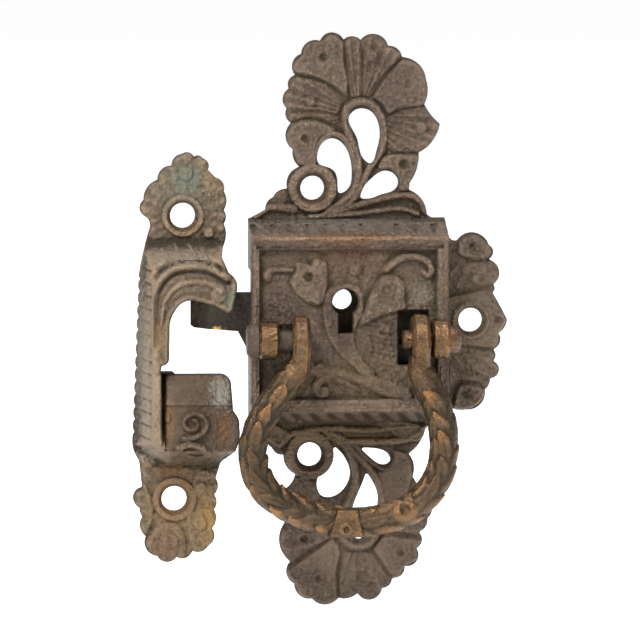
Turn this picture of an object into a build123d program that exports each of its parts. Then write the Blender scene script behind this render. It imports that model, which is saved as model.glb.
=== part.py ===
"""Surface thumb latch: a cast bronze case with a ring pull, a lifting tongue, a key lock and a keeper.

Frame: +Z up, the face looks along -Y, +X to the right. The mounting plane is y = 0 and
the origin is the middle of the case on that plane. Lengths are millimetres.
"""
import os

from build123d import *

# ---------------------------------------------------------------- driving dimensions
fit_gap = 0.04             # radial gap round a pin in its hole
running_gap = 0.06         # radial gap round a turning part

plate_thickness = 2.4      # finials, fan and keeper ends
boss_rise = 0.4            # screw bosses above the plate
case_half_width = 17.5
case_half_height = 18.3    # at the foot of the bevels
face_half_width = 17.3
face_half_height = 15.5
case_depth = 10.0          # mounting plane to the raised face frame
field_recess = 0.8
field_left = -16.2
field_right = 15.6
field_top = 13.3
field_bottom = -13.5
cavity_half_width = 16.0
cavity_half_height = 14.6
cavity_depth = 7.8

screw_hole_radius = 2.15
screw_sink_radius = 2.7
boss_radius = 4.3
top_boss = (-6.1, 23.7)
bottom_boss = (-6.6, -23.9)
fan_boss = (22.2, 0.0)
fan_boss_radius = 3.4

key_x = -0.8
key_z = 3.8
key_round_radius = 2.35
key_slot_width = 2.6
key_slot_foot = -1.7
escutcheon_radius = 3.3
pilot_radius = 1.8

pivot_y = -13.2            # hinge line of the ring pull
pivot_z = -2.6
pivot_pin_radius = 1.75
lug_radius = 3.6
left_lug_outer = -16.6
left_lug_inner = -12.9
right_lug_inner = 14.0
right_lug_outer = 17.2

eye_radius = 4.5
left_arm_outer = -10.7
left_arm_inner = -7.5
right_arm_inner = 10.4
right_arm_outer = 13.65
ring_section_radius = 2.6
neck_foot = -6.2
neck_radius = 2.3
finger_width = 2.8
finger_half_height = 1.0
finger_tip_y = -3.4

slot_top = 2.3
slot_bottom = -7.4
slot_side_gap = 0.25
slot_inner_gap = 1.9

lever_back = 2.4           # depth of the lever's back face below the mounting plane
lever_front = 5.4
lever_pivot_x = -5.0
lever_pivot_z = -6.3
lever_boss_radius = 3.0
lever_stud_radius = 1.4
stud_head_radius = 2.1
stud_head_height = 0.5
washer_radius = 2.5
washer_thickness = 0.5
tongue_tip_x = -27.9
tongue_top = 5.3
tongue_bottom = -0.9
notch_top = 9.4
notch_bottom = -5.6
lever_arm_top = -4.0
lever_arm_bottom = -7.4
lever_end_x = 13.6
spring_stub_length = 1.0

spring_x = 7.5
spring_coil_radius = 1.55
spring_wire_radius = 0.2
spring_turns = 5
spring_pin_radius = 0.9
spring_pin_sink = 1.8
spring_pin_stand = 2.0

slide_left = -11.6
slide_right = -4.6
slide_bottom = 0.6
slide_top = 14.0
slide_thickness = 1.6
slide_back = 2.5
slide_throw = 3.6
slide_pin_x = -8.6
slide_pin_low = 2.4
slide_pin_high = 7.6
slide_pin_radius = 0.9
slide_head_radius = 1.5
slide_head_height = 0.6
talon_height = 3.4
talon_depth = 2.0

leaf_thickness = 0.4
leaf_half_width = 0.9
leaf_z = 12.0
leaf_left = -11.0
leaf_rivet_x = -1.0
leaf_rivet_radius = 0.8

cap_thickness = 1.2
cap_gap = 0.1
post_x = 14.3
post_z = 12.9
post_radius = 1.8
cap_screw_radius = 0.7
cap_screw_head_radius = 1.3
cap_screw_head_height = 0.6
cap_screw_length = 5.0

keeper_depth = 9.0
keeper_top_hole = (-29.2, 18.9)
keeper_bottom_hole = (-30.8, -31.6)
hook_wall = 2.6            # front wall over the pocket behind the hook
ramp_wall = 3.2            # front wall over the pocket behind the ramp block
pocket_left = -31.0
pocket_right = -18.0
hook_pocket_top = 11.1

# Sketches on this plane read (x, z) and extrude towards the front.
front = Plane(origin=(0, 0, 0), x_dir=(1, 0, 0), z_dir=(0, -1, 0))
# The same plane seen from behind, for holes sunk from the back.
back = Plane(origin=(0, 0, 0), x_dir=(-1, 0, 0), z_dir=(0, 1, 0))
# Sketches on this plane read (y, z) and extrude towards +X.
side = Plane(origin=(0, 0, 0), x_dir=(0, 1, 0), z_dir=(1, 0, 0))


def side_at(x):
    """The (y, z) sketch plane moved to a given x."""
    return side.offset(x)


def front_at(depth):
    """The (x, z) sketch plane moved forward by a depth."""
    return front.offset(depth)


def scalloped_edge(start, lobes):
    """Draw an open edge from start: each lobe is (end,) for a line or (through, end) for an arc."""
    here = start
    for lobe in lobes:
        if len(lobe) == 1:
            Line(here, lobe[0])
        else:
            ThreePointArc(here, lobe[0], lobe[1])
        here = lobe[-1]


# ---------------------------------------------------------------- scalloped outlines, (x, z)
top_start = (-17.4, 15.0)
top_lobes = [
    ((-17.4, 18.2),),
    ((-14.4, 19.8),),
    ((-14.1, 21.1), (-13.0, 22.0)),
    ((-12.1, 23.1), (-10.5, 23.5)),
    ((-10.1, 26.1), (-8.3, 27.4)),
    ((-9.4, 28.9), (-9.5, 30.5)),
    ((-10.8, 33.0), (-9.8, 35.2)),
    ((-10.8, 36.6), (-10.6, 37.8)),
    ((-11.3, 39.6), (-10.2, 41.3)),
    ((-10.3, 42.6), (-9.1, 43.7)),
    ((-9.6, 45.7), (-8.0, 47.5)),
    ((-6.9, 49.5), (-4.6, 49.8)),
    ((-2.7, 51.3), (-0.5, 49.9)),
    ((1.2, 50.6), (2.6, 49.9)),
    ((5.2, 51.0), (7.4, 48.9)),
    ((9.2, 48.3), (9.9, 46.9)),
    ((12.6, 45.9), (14.2, 42.9)),
    ((14.5, 40.6), (13.9, 38.5)),
    ((15.1, 36.6), (16.7, 35.0)),
    ((15.6, 32.3), (12.9, 29.9)),
    ((12.6, 27.1), (11.3, 24.5)),
    ((11.2, 23.3),),
    ((13.3, 21.8), (14.3, 19.0)),
    ((15.3, 18.3), (16.7, 17.7)),
    ((17.4, 15.0),),
]
bottom_start = (-17.4, -15.0)
bottom_lobes = [
    ((-17.4, -18.4),),
    ((-14.4, -20.0),),
    ((-14.3, -21.5), (-13.3, -22.7)),
    ((-12.5, -23.7), (-11.2, -23.9)),
    ((-10.7, -26.1), (-9.1, -27.5)),
    ((-9.6, -28.8), (-10.7, -30.0)),
    ((-11.8, -32.8), (-11.0, -36.2)),
    ((-12.0, -39.6), (-10.0, -43.2)),
    ((-10.7, -45.3), (-9.3, -47.1)),
    ((-8.4, -49.2), (-6.2, -49.8)),
    ((-3.7, -50.9), (-1.4, -49.7)),
    ((0.3, -49.8), (2.0, -48.9)),
    ((4.3, -50.1), (6.4, -48.0)),
    ((7.6, -47.6), (8.2, -46.2)),
    ((9.8, -45.8), (10.5, -44.1)),
    ((12.7, -43.2), (12.6, -40.9)),
    ((13.6, -39.6), (13.0, -38.0)),
    ((14.4, -36.8), (14.6, -35.5)),
    ((15.4, -33.4), (13.4, -31.6)),
    ((12.8, -29.6), (11.9, -28.0)),
    ((12.1, -25.8), (11.2, -23.9)),
    ((13.1, -22.0), (14.1, -19.5)),
    ((15.2, -18.6), (16.7, -17.9)),
    ((17.4, -15.0),),
]
fan_start = (15.0, 14.7)
fan_lobes = [
    ((18.5, 14.7),),
    ((19.2, 14.2), (19.9, 14.2)),
    ((22.9, 15.6), (25.5, 13.4)),
    ((26.3, 12.1), (25.3, 10.8)),
    ((27.4, 8.6), (26.3, 6.3)),
    ((26.6, 5.6), (26.2, 4.9)),
    ((27.6, 2.4), (28.8, 0.1)),
    ((28.4, -1.3), (27.3, -2.4)),
    ((27.6, -3.9), (26.3, -5.3)),
    ((26.8, -6.4), (26.3, -7.4)),
    ((27.4, -9.1), (25.8, -10.5)),
    ((25.6, -11.6), (24.9, -12.5)),
    ((24.1, -15.1), (21.4, -16.1)),
    ((19.9, -16.1), (18.5, -15.6)),
    ((15.0, -15.6),),
]
keeper_start = (-31.1, 27.7)
keeper_lobes = [
    ((-30.5, 29.2), (-29.2, 29.8)),
    ((-27.9, 30.0), (-27.1, 29.2)),
    ((-26.3, 29.5), (-25.6, 29.0)),
    ((-24.6, 28.1), (-24.7, 27.0)),
    ((-23.3, 25.6),),
    ((-22.1, 24.8), (-21.9, 23.2)),
    ((-21.4, 21.5), (-21.9, 19.8)),
    ((-21.5, 18.6), (-21.9, 17.4)),
    ((-21.5, 15.4), (-22.2, 13.3)),
    ((-22.6, 11.8),),
    ((-21.4, 9.0),),
    ((-20.2, 7.8), (-20.0, 6.0)),
    ((-20.3, 4.2), (-20.6, 2.9)),
    ((-21.1, 2.1), (-22.0, 2.1)),
    ((-24.4, 3.3), (-26.9, 4.0)),
    ((-29.2, 4.0), (-30.8, 2.6)),
    ((-31.7, 0.8), (-31.9, -1.2)),
    ((-32.0, -6.0),),
    ((-32.4, -7.0), (-33.3, -7.3)),
    ((-33.6, -8.9),),
    ((-23.0, -8.9),),
    ((-21.4, -9.6), (-20.9, -11.2)),
    ((-20.6, -15.6),),
    ((-19.7, -16.8), (-19.5, -18.4)),
    ((-19.5, -20.6), (-20.2, -22.6)),
    ((-22.4, -24.8),),
    ((-23.4, -28.0),),
    ((-23.0, -29.5), (-23.7, -30.9)),
    ((-23.2, -32.2), (-23.7, -33.6)),
    ((-23.3, -35.3), (-24.1, -36.9)),
    ((-23.7, -38.8), (-24.7, -40.0)),
    ((-26.0, -41.1), (-27.6, -41.0)),
    ((-28.9, -42.3), (-30.4, -42.0)),
    ((-32.4, -42.9), (-33.9, -41.8)),
    ((-35.7, -40.8), (-35.8, -38.4)),
    ((-36.9, -36.6), (-36.4, -34.9)),
    ((-36.9, -34.0), (-36.9, -33.2)),
    ((-38.1, -31.6), (-36.5, -29.6)),
    ((-36.7, -27.6), (-37.0, -24.8)),
    ((-37.9, -23.2), (-38.2, -21.0)),
    ((-37.5, -3.5),),
    ((-37.0, 8.1),),
    ((-36.2, 12.2), (-35.2, 16.1)),
    ((-35.0, 17.6), (-35.9, 18.8)),
    ((-36.8, 20.2), (-36.1, 21.6)),
    ((-35.4, 23.9), (-33.6, 25.2)),
    ((-33.0, 26.9), (-31.1, 27.7)),
]

# Pierced openings of the finials, as smooth closed curves through a few points.
top_teardrop = [(0.7, 36.8), (2.6, 37.8), (4.5, 37.2), (5.8, 35.0), (6.0, 32.5), (5.4, 30.0), (4.4, 28.0), (3.0, 28.9), (1.8, 32.7)]
top_crescent = [(-5.1, 28.3), (-5.2, 30.0), (-4.3, 31.7), (-2.7, 32.5), (-0.8, 31.7), (0.7, 29.0), (1.0, 25.4), (0.2, 23.3), (-1.2, 22.7), (-1.6, 25.0), (-2.9, 27.2)]
top_leaf = [(2.5, 22.2), (3.2, 24.0), (4.5, 25.4), (6.8, 26.7), (8.4, 26.2), (9.3, 24.8), (8.7, 23.3), (6.5, 22.5), (4.0, 21.7)]
bottom_crescent = [(-1.8, -22.8), (0.0, -25.0), (0.7, -27.4), (-0.1, -29.8), (-1.9, -31.4), (-4.2, -31.5), (-5.3, -29.3), (-4.5, -27.2), (-3.0, -25.8)]
bottom_leaf = [(2.8, -22.8), (5.2, -22.9), (7.6, -24.1), (7.9, -25.2), (6.8, -25.9), (5.2, -25.3), (3.8, -24.1)]
bottom_teardrop = [(3.4, -27.6), (2.0, -31.1), (0.6, -35.5), (0.8, -38.1), (2.2, -39.2), (3.9, -38.2), (5.3, -35.2), (5.7, -32.2), (4.8, -29.0)]

# ---------------------------------------------------------------- case casting
with BuildPart() as face_casting:
    # The two finials and the side fan are one plate thickness deep.
    for start, lobes, piercings in (
        (top_start, top_lobes, (top_teardrop, top_crescent, top_leaf)),
        (bottom_start, bottom_lobes, (bottom_teardrop, bottom_crescent, bottom_leaf)),
        (fan_start, fan_lobes, ()),
    ):
        with BuildSketch(front):
            with BuildLine():
                scalloped_edge(start, lobes)
                Line(lobes[-1][-1], start)
            make_face()
            for piercing in piercings:
                with BuildLine():
                    Spline(*piercing, periodic=True)
                make_face(mode=Mode.SUBTRACT)
        extrude(amount=plate_thickness)
    # The box stands straight through the plate, then its top and bottom lean in to the face.
    with BuildSketch(front):
        Rectangle(2 * case_half_width, 2 * case_half_height)
    extrude(amount=plate_thickness)
    with BuildSketch(front_at(plate_thickness)):
        Rectangle(2 * case_half_width, 2 * case_half_height)
    with BuildSketch(front_at(case_depth)):
        Rectangle(2 * face_half_width, 2 * face_half_height)
    loft()
    # Screw bosses.
    with BuildSketch(front):
        with Locations(top_boss, bottom_boss):
            Circle(boss_radius)
        with Locations(fan_boss):
            Circle(fan_boss_radius)
    extrude(amount=plate_thickness + boss_rise)
    # The ornamented field lies below the raised frame.
    with BuildSketch(front_at(case_depth)):
        with Locations(((field_left + field_right) / 2, (field_top + field_bottom) / 2)):
            Rectangle(field_right - field_left, field_top - field_bottom)
    extrude(amount=-field_recess, mode=Mode.SUBTRACT)
    # Hollow of the case, open at the back.
    with BuildSketch(front):
        Rectangle(2 * cavity_half_width, 2 * cavity_half_height)
    extrude(amount=cavity_depth, mode=Mode.SUBTRACT)
    # Inside bosses: cover posts, lever stud, slide pins and leaf rivet.
    with BuildSketch(front_at(cap_thickness)):
        with GridLocations(2 * post_x, 2 * post_z, 2, 2):
            Circle(post_radius)
    extrude(until=Until.NEXT)
    with BuildSketch(front_at(lever_front)):
        with Locations((lever_pivot_x, lever_pivot_z)):
            Circle(lever_boss_radius)
    extrude(until=Until.NEXT)
    with BuildSketch(front_at(slide_back + slide_thickness)):
        with Locations((slide_pin_x, slide_pin_low), (slide_pin_x, slide_pin_high)):
            Circle(slide_head_radius)
    extrude(until=Until.NEXT)
    with BuildSketch(front_at(slide_back)):
        with Locations((leaf_rivet_x, leaf_z)):
            Circle(2 * leaf_half_width)
    extrude(until=Until.NEXT)
    # Hinge lugs: a round knuckle on a short pillar that grows out of the field.
    for lug_start, lug_end in ((left_lug_outer, left_lug_inner), (right_lug_inner, right_lug_outer)):
        with BuildSketch(side_at(lug_start)):
            with Locations((pivot_y, pivot_z)):
                Circle(lug_radius)
            with Locations(((pivot_y - cavity_depth) / 2 - 0.4, pivot_z)):
                Rectangle(-pivot_y - cavity_depth - 0.8, 2 * lug_radius)
        extrude(amount=lug_end - lug_start)
    # Keyhole with a raised rim.
    with BuildSketch(front_at(case_depth - field_recess)):
        with Locations((key_x, key_z)):
            Circle(escutcheon_radius)
    extrude(amount=field_recess / 2)
    with BuildSketch(front_at(cavity_depth)):
        with Locations((key_x, key_z)):
            Circle(key_round_radius)
        with Locations((key_x, (key_z + key_slot_foot) / 2)):
            Rectangle(key_slot_width, key_z - key_slot_foot)
    extrude(amount=case_depth, mode=Mode.SUBTRACT)
    # Slots for the two arms of the ring pull.
    with BuildSketch(front_at(cavity_depth)):
        with Locations(((left_lug_inner + left_arm_inner) / 2 + slot_side_gap, (slot_top + slot_bottom) / 2)):
            Rectangle(left_arm_inner - left_lug_inner, slot_top - slot_bottom)
        with Locations(((right_lug_inner + right_arm_inner - slot_inner_gap) / 2, (slot_top + slot_bottom) / 2)):
            Rectangle(right_lug_inner - right_arm_inner + slot_inner_gap - 0.1, slot_top - slot_bottom)
    extrude(amount=case_depth, mode=Mode.SUBTRACT)
    # Notch in the left wall for the lever, open at the back.
    with BuildSketch(front):
        with Locations((-case_half_width, (notch_top + notch_bottom) / 2)):
            Rectangle(2 * (case_half_width - cavity_half_width) + 0.4, notch_top - notch_bottom)
    extrude(amount=lever_front + 0.8, mode=Mode.SUBTRACT)
    # Countersunk screw holes.
    with Locations(front_at(plate_thickness + boss_rise)):
        with Locations(top_boss, bottom_boss, fan_boss):
            CounterSinkHole(screw_hole_radius, screw_sink_radius)
    # Pin holes through the lugs.
    with BuildSketch(side_at(left_lug_outer - 1)):
        with Locations((pivot_y, pivot_z)):
            Circle(pivot_pin_radius + fit_gap)
    extrude(amount=left_lug_inner - left_lug_outer + 2, mode=Mode.SUBTRACT)
    with BuildSketch(side_at(right_lug_inner - 0.3)):
        with Locations((pivot_y, pivot_z)):
            Circle(pivot_pin_radius + fit_gap)
    extrude(amount=right_lug_outer - right_lug_inner + 1, mode=Mode.SUBTRACT)
    # Blind holes for the stud, slide pins, rivet and cover screws.
    with BuildSketch(front):
        with Locations((lever_pivot_x, lever_pivot_z)):
            Circle(lever_stud_radius + fit_gap)
        with Locations((slide_pin_x, slide_pin_low), (slide_pin_x, slide_pin_high)):
            Circle(slide_pin_radius + fit_gap)
        with Locations((leaf_rivet_x, leaf_z)):
            Circle(leaf_rivet_radius + fit_gap)
    extrude(amount=cavity_depth + 0.8, mode=Mode.SUBTRACT)
    with BuildSketch(front):
        with GridLocations(2 * post_x, 2 * post_z, 2, 2):
            Circle(cap_screw_radius + fit_gap)
    extrude(amount=cap_screw_length + 0.6, mode=Mode.SUBTRACT)
    with BuildSketch(Plane(origin=(0, 0, -cavity_half_height))):
        with Locations((spring_x, -(lever_back + lever_front) / 2)):
            Circle(spring_pin_radius + fit_gap)
    extrude(amount=-spring_pin_sink, mode=Mode.SUBTRACT)
face_casting.part.label = "face_casting"

# ---------------------------------------------------------------- back cover and its screws
with BuildPart() as back_cover:
    with BuildSketch(front):
        Rectangle(2 * (cavity_half_width - cap_gap), 2 * (cavity_half_height - cap_gap))
        with Locations((key_x, key_z)):
            Circle(pilot_radius, mode=Mode.SUBTRACT)
    extrude(amount=cap_thickness)
    fillet(back_cover.edges().filter_by(Axis.Y).group_by(Axis.X)[0], radius=0.8)
    with Locations(back):
        with GridLocations(2 * post_x, 2 * post_z, 2, 2):
            CounterSinkHole(cap_screw_radius + fit_gap, cap_screw_head_radius + fit_gap)
back_cover.part.label = "back_cover"

with BuildPart() as cover_screw_set:
    with Locations(front):
        with GridLocations(2 * post_x, 2 * post_z, 2, 2):
            Cylinder(cap_screw_radius, cap_screw_length, align=(Align.CENTER, Align.CENTER, Align.MIN))
            Cone(
                cap_screw_head_radius, cap_screw_radius, cap_screw_head_height,
                align=(Align.CENTER, Align.CENTER, Align.MIN),
            )
            Box(
                2.2, 0.4, 0.3,
                align=(Align.CENTER, Align.CENTER, Align.MIN), mode=Mode.SUBTRACT,
            )
cover_screw_set.part.label = "cover_screws"

# ---------------------------------------------------------------- ring pull
ring_path_points = [
    (-9.5, -7.2), (-12.1, -10.8), (-15.7, -16.0), (-17.6, -21.6), (-16.7, -27.0), (-12.9, -31.2),
    (-6.2, -34.0), (0.4, -34.8), (6.6, -33.9), (11.7, -31.4), (15.2, -26.8), (16.3, -21.0),
    (15.2, -14.8), (12.8, -9.6), (12.0, -7.3),
]
with BuildPart() as ring_pull:
    # Round bar bent into the ring.
    with BuildLine() as ring_path:
        Spline(*[(x, pivot_y, z) for x, z in ring_path_points])
    with BuildSketch(Plane(origin=ring_path.line @ 0, z_dir=ring_path.line % 0)):
        Circle(ring_section_radius)
    sweep()
    # Each arm: an eye round the hinge line tapering into the bar.
    for arm_start, arm_end in ((left_arm_outer, left_arm_inner), (right_arm_inner, right_arm_outer)):
        with BuildSketch(side_at(arm_start)):
            with Locations((pivot_y, pivot_z)):
                Circle(eye_radius)
            with Locations((pivot_y, neck_foot)):
                Circle(neck_radius)
            make_hull()
        extrude(amount=arm_end - arm_start)
    # Clasp at the bottom of the ring.
    with BuildSketch(front_at(-pivot_y)):
        Polygon((-2.6, -32.6), (1.2, -32.6), (2.2, -37.2), (-3.4, -37.2), align=None)
    extrude(amount=ring_section_radius + 0.3)
    # Finger on the right arm that presses the lever down.
    with BuildSketch(side_at((right_arm_inner + right_arm_outer - finger_width) / 2)):
        with Locations(((pivot_y + finger_tip_y) / 2, pivot_z)):
            Rectangle(finger_tip_y - pivot_y, 2 * finger_half_height)
    extrude(amount=finger_width)
    with BuildSketch(side_at(left_arm_outer - 1)):
        with Locations((pivot_y, pivot_z)):
            Circle(pivot_pin_radius + running_gap)
    extrude(amount=right_arm_outer - left_arm_outer + 2, mode=Mode.SUBTRACT)
ring_pull.part.label = "ring_pull"

# ---------------------------------------------------------------- hinge pin and hinge screw
with BuildPart() as left_hinge_pin:
    with BuildSketch(side_at(left_lug_outer)):
        with Locations((pivot_y, pivot_z)):
            Circle(3.0)
    extrude(amount=-2.0)
    chamfer(left_hinge_pin.edges().group_by(Axis.X)[0], length=0.6)
    with BuildSketch(side_at(left_lug_outer)):
        with Locations((pivot_y, pivot_z)):
            Circle(pivot_pin_radius)
    extrude(amount=left_arm_inner - left_lug_outer + 0.4)
    chamfer(left_hinge_pin.edges().group_by(Axis.X)[-1], length=0.3)
left_hinge_pin.part.label = "left_hinge_pin"

with BuildPart() as right_hinge_screw:
    with BuildSketch(side_at(right_lug_outer)):
        with Locations((pivot_y, pivot_z)):
            Circle(2.5)
    extrude(amount=2.1)
    fillet(right_hinge_screw.edges().group_by(Axis.X)[-1], radius=1.5)
    with BuildSketch(side_at(right_lug_outer + 1.4)):
        with Locations((pivot_y, pivot_z)):
            Rectangle(0.7, 6.0)
    extrude(amount=1.0, mode=Mode.SUBTRACT)
    with BuildSketch(side_at(right_lug_outer)):
        with Locations((pivot_y, pivot_z)):
            Circle(pivot_pin_radius)
    extrude(amount=right_arm_inner - 1.45 - right_lug_outer)
    chamfer(right_hinge_screw.edges().group_by(Axis.X)[0], length=0.3)
right_hinge_screw.part.label = "right_hinge_screw"

# ---------------------------------------------------------------- lever with the tongue
with BuildPart() as latch_lever:
    with BuildSketch(front_at(lever_back)):
        with BuildLine():
            Polyline(
                (lever_pivot_x, lever_arm_top),
                (-9.0, -3.6),
                (-14.2, -3.4),
                (-15.9, tongue_top),
                (tongue_tip_x, tongue_top),
                (tongue_tip_x, tongue_bottom + 0.4),
                (-27.3, tongue_bottom),
                (-19.6, -1.5),
                (-17.6, -5.3),
                (-15.8, -5.4),
                (-15.2, -7.9),
                (-10.0, -8.6),
                (lever_pivot_x, lever_pivot_z - lever_boss_radius),
                (3.0, lever_arm_bottom - 0.6),
                (8.5, lever_arm_bottom),
                (lever_end_x, lever_arm_bottom + 1.0),
                (lever_end_x, lever_arm_top),
                close=True,
            )
        make_face()
        with Locations((lever_pivot_x, lever_pivot_z)):
            Circle(lever_boss_radius)
            Circle(lever_stud_radius + running_gap, mode=Mode.SUBTRACT)
    extrude(amount=lever_front - lever_back)
    # The tongue's end leans back so that it rides over the keeper.
    with BuildSketch(Plane.XY.offset(tongue_bottom - 1)):
        Polygon(
            (tongue_tip_x - 1, -lever_front - 1),
            (tongue_tip_x + 3.0, -lever_front - 1),
            (tongue_tip_x + 3.0, -lever_front),
            (tongue_tip_x, -lever_back - 0.8),
            (tongue_tip_x - 1, -lever_back - 0.8),
            align=None,
        )
    extrude(amount=tongue_top - tongue_bottom + 2, mode=Mode.SUBTRACT)
    # Stub that keeps the spring in line.
    with BuildSketch(Plane.XY.offset(lever_arm_bottom + 0.3)):
        with Locations((spring_x, -(lever_back + lever_front) / 2)):
            Circle(spring_pin_radius)
    extrude(amount=-spring_stub_length - 0.3)
latch_lever.part.label = "latch_lever"

with BuildPart() as lever_stud:
    with BuildSketch(front_at(lever_back - washer_thickness - stud_head_height)):
        with Locations((lever_pivot_x, lever_pivot_z)):
            Circle(stud_head_radius)
    extrude(amount=stud_head_height)
    chamfer(lever_stud.edges().group_by(Axis.Y)[-1], length=0.2)
    with BuildSketch(front_at(lever_back - washer_thickness)):
        with Locations((lever_pivot_x, lever_pivot_z)):
            Circle(lever_stud_radius)
    extrude(amount=cavity_depth + 0.8 - lever_back + washer_thickness)
lever_stud.part.label = "lever_stud"

with BuildPart() as lever_washer:
    with BuildSketch(front_at(lever_back - washer_thickness)):
        with Locations((lever_pivot_x, lever_pivot_z)):
            Circle(washer_radius)
            Circle(lever_stud_radius + fit_gap, mode=Mode.SUBTRACT)
    extrude(amount=washer_thickness)
lever_washer.part.label = "lever_washer"

# ---------------------------------------------------------------- lever spring and its seat pin
spring_y = -(lever_back + lever_front) / 2
spring_foot = -cavity_half_height + spring_wire_radius
spring_height = lever_arm_bottom - spring_wire_radius - spring_foot
with BuildPart() as lever_spring:
    with BuildLine() as coil:
        Helix(
            pitch=spring_height / spring_turns, height=spring_height, radius=spring_coil_radius,
            center=(spring_x, spring_y, spring_foot),
        )
    with BuildSketch(Plane(origin=coil.line @ 0, z_dir=coil.line % 0)):
        Circle(spring_wire_radius)
    sweep(is_frenet=True)
lever_spring.part.label = "lever_spring"

with BuildPart() as spring_seat_pin:
    with BuildSketch(Plane.XY.offset(-cavity_half_height - spring_pin_sink)):
        with Locations((spring_x, spring_y)):
            Circle(spring_pin_radius)
    extrude(amount=spring_pin_sink + spring_pin_stand)
    chamfer(spring_seat_pin.edges().group_by(Axis.Z)[-1], length=0.3)
spring_seat_pin.part.label = "spring_seat_pin"

# ---------------------------------------------------------------- lock slide, its pins and its leaf spring
slide_slot_half_width = slide_pin_radius + running_gap
slide_slot_bottom = slide_pin_low - slide_slot_half_width
slide_slot_top = slide_pin_high + slide_slot_half_width + slide_throw
with BuildPart() as lock_slide:
    with BuildSketch(front_at(slide_back)):
        with Locations(((slide_left + slide_right) / 2, (slide_bottom + slide_top) / 2)):
            RectangleRounded(slide_right - slide_left, slide_top - slide_bottom, 0.6)
        with Locations((slide_pin_x, (slide_slot_bottom + slide_slot_top) / 2)):
            Rectangle(2 * slide_slot_half_width, slide_slot_top - slide_slot_bottom, mode=Mode.SUBTRACT)
        with Locations((slide_right - talon_depth / 2, key_z)):
            Rectangle(talon_depth, talon_height, mode=Mode.SUBTRACT)
    extrude(amount=slide_thickness)
lock_slide.part.label = "lock_slide"

with BuildPart() as slide_pins:
    with BuildSketch(front_at(slide_back - slide_head_height)):
        with Locations((slide_pin_x, slide_pin_low), (slide_pin_x, slide_pin_high)):
            Circle(slide_head_radius)
    extrude(amount=slide_head_height)
    with BuildSketch(front_at(slide_back)):
        with Locations((slide_pin_x, slide_pin_low), (slide_pin_x, slide_pin_high)):
            Circle(slide_pin_radius)
    extrude(amount=cavity_depth + 0.8 - slide_back)
slide_pins.part.label = "slide_pins"

with BuildPart() as slide_leaf:
    with BuildSketch(front_at(slide_back)):
        with Locations(((leaf_left + leaf_rivet_x) / 2, leaf_z)):
            Rectangle(leaf_rivet_x - leaf_left, 2 * leaf_half_width)
        with Locations((leaf_rivet_x, leaf_z)):
            Circle(leaf_half_width + 0.6)
            Circle(leaf_rivet_radius + fit_gap, mode=Mode.SUBTRACT)
    extrude(amount=-leaf_thickness)
slide_leaf.part.label = "slide_leaf"

with BuildPart() as leaf_rivet:
    with BuildSketch(front_at(slide_back - leaf_thickness)):
        with Locations((leaf_rivet_x, leaf_z)):
            Circle(leaf_rivet_radius + 0.5)
    extrude(amount=-0.5)
    chamfer(leaf_rivet.edges().group_by(Axis.Y)[-1], length=0.2)
    with BuildSketch(front_at(slide_back - leaf_thickness)):
        with Locations((leaf_rivet_x, leaf_z)):
            Circle(leaf_rivet_radius)
    extrude(amount=cavity_depth + 0.8 - slide_back + leaf_thickness)
leaf_rivet.part.label = "leaf_rivet"

# ---------------------------------------------------------------- keeper
with BuildPart() as keeper:
    with BuildSketch(front):
        with BuildLine():
            scalloped_edge(keeper_start, keeper_lobes)
        make_face()
    extrude(amount=keeper_depth)
    # Cut the scalloped ends down to the plate; the upper shoulder slopes up to the guard.
    with BuildSketch(side_at(-45)):
        Polygon(
            (-keeper_depth - 1, 11.3), (-keeper_depth, 11.3), (-plate_thickness, 14.2),
            (-plate_thickness, 35.0), (-keeper_depth - 1, 35.0), align=None,
        )
    extrude(amount=30, mode=Mode.SUBTRACT)
    with BuildSketch(side_at(-45)):
        Polygon(
            (-keeper_depth - 1, -22.5), (-keeper_depth, -22.5), (-plate_thickness, -25.6),
            (-plate_thickness, -45.0), (-keeper_depth - 1, -45.0), align=None,
        )
    extrude(amount=30, mode=Mode.SUBTRACT)
    # Ribbed bevel along the left edge.
    with BuildSketch(Plane.XY.offset(-30)):
        Polygon(
            (-39.0, -keeper_depth - 1), (-34.9, -keeper_depth - 1), (-34.9, -keeper_depth),
            (-37.3, -plate_thickness - 1.6), (-39.0, -plate_thickness - 1.6), align=None,
        )
    extrude(amount=46, mode=Mode.SUBTRACT)
    # The ramp band along the top of the block.
    with BuildSketch(side_at(-33.4)):
        Polygon(
            (-keeper_depth - 1, -8.0), (-keeper_depth + 1.8, -8.0), (-keeper_depth + 1.8, -8.9),
            (-keeper_depth, -14.2), (-keeper_depth - 1, -14.2), align=None,
        )
    extrude(amount=20, mode=Mode.SUBTRACT)
    # Pocket behind the hook, open to the mouth and to the right.
    with BuildSketch(front):
        with Locations(((pocket_left + pocket_right) / 2, hook_pocket_top / 2 - 0.2)):
            Rectangle(pocket_right - pocket_left, hook_pocket_top + 0.4)
    extrude(amount=keeper_depth - hook_wall, mode=Mode.SUBTRACT)
    # Pocket behind the ramp block, open at the top and, above its waist, to the right.
    with BuildSketch(front):
        with Locations(((pocket_left + pocket_right) / 2, -12.2)):
            Rectangle(pocket_right - pocket_left, 7.4)
        with Locations(((pocket_left - 22.0) / 2, -16.0)):
            Rectangle(-22.0 - pocket_left, 12.0)
    extrude(amount=keeper_depth - ramp_wall, mode=Mode.SUBTRACT)
    with BuildSketch(front):
        with Locations(keeper_top_hole, keeper_bottom_hole):
            Circle(boss_radius - 0.6)
    extrude(amount=plate_thickness + boss_rise)
    with Locations(front_at(plate_thickness + boss_rise)):
        with Locations(keeper_top_hole, keeper_bottom_hole):
            CounterSinkHole(screw_hole_radius + 0.1, screw_sink_radius)
keeper.part.label = "keeper"

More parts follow.
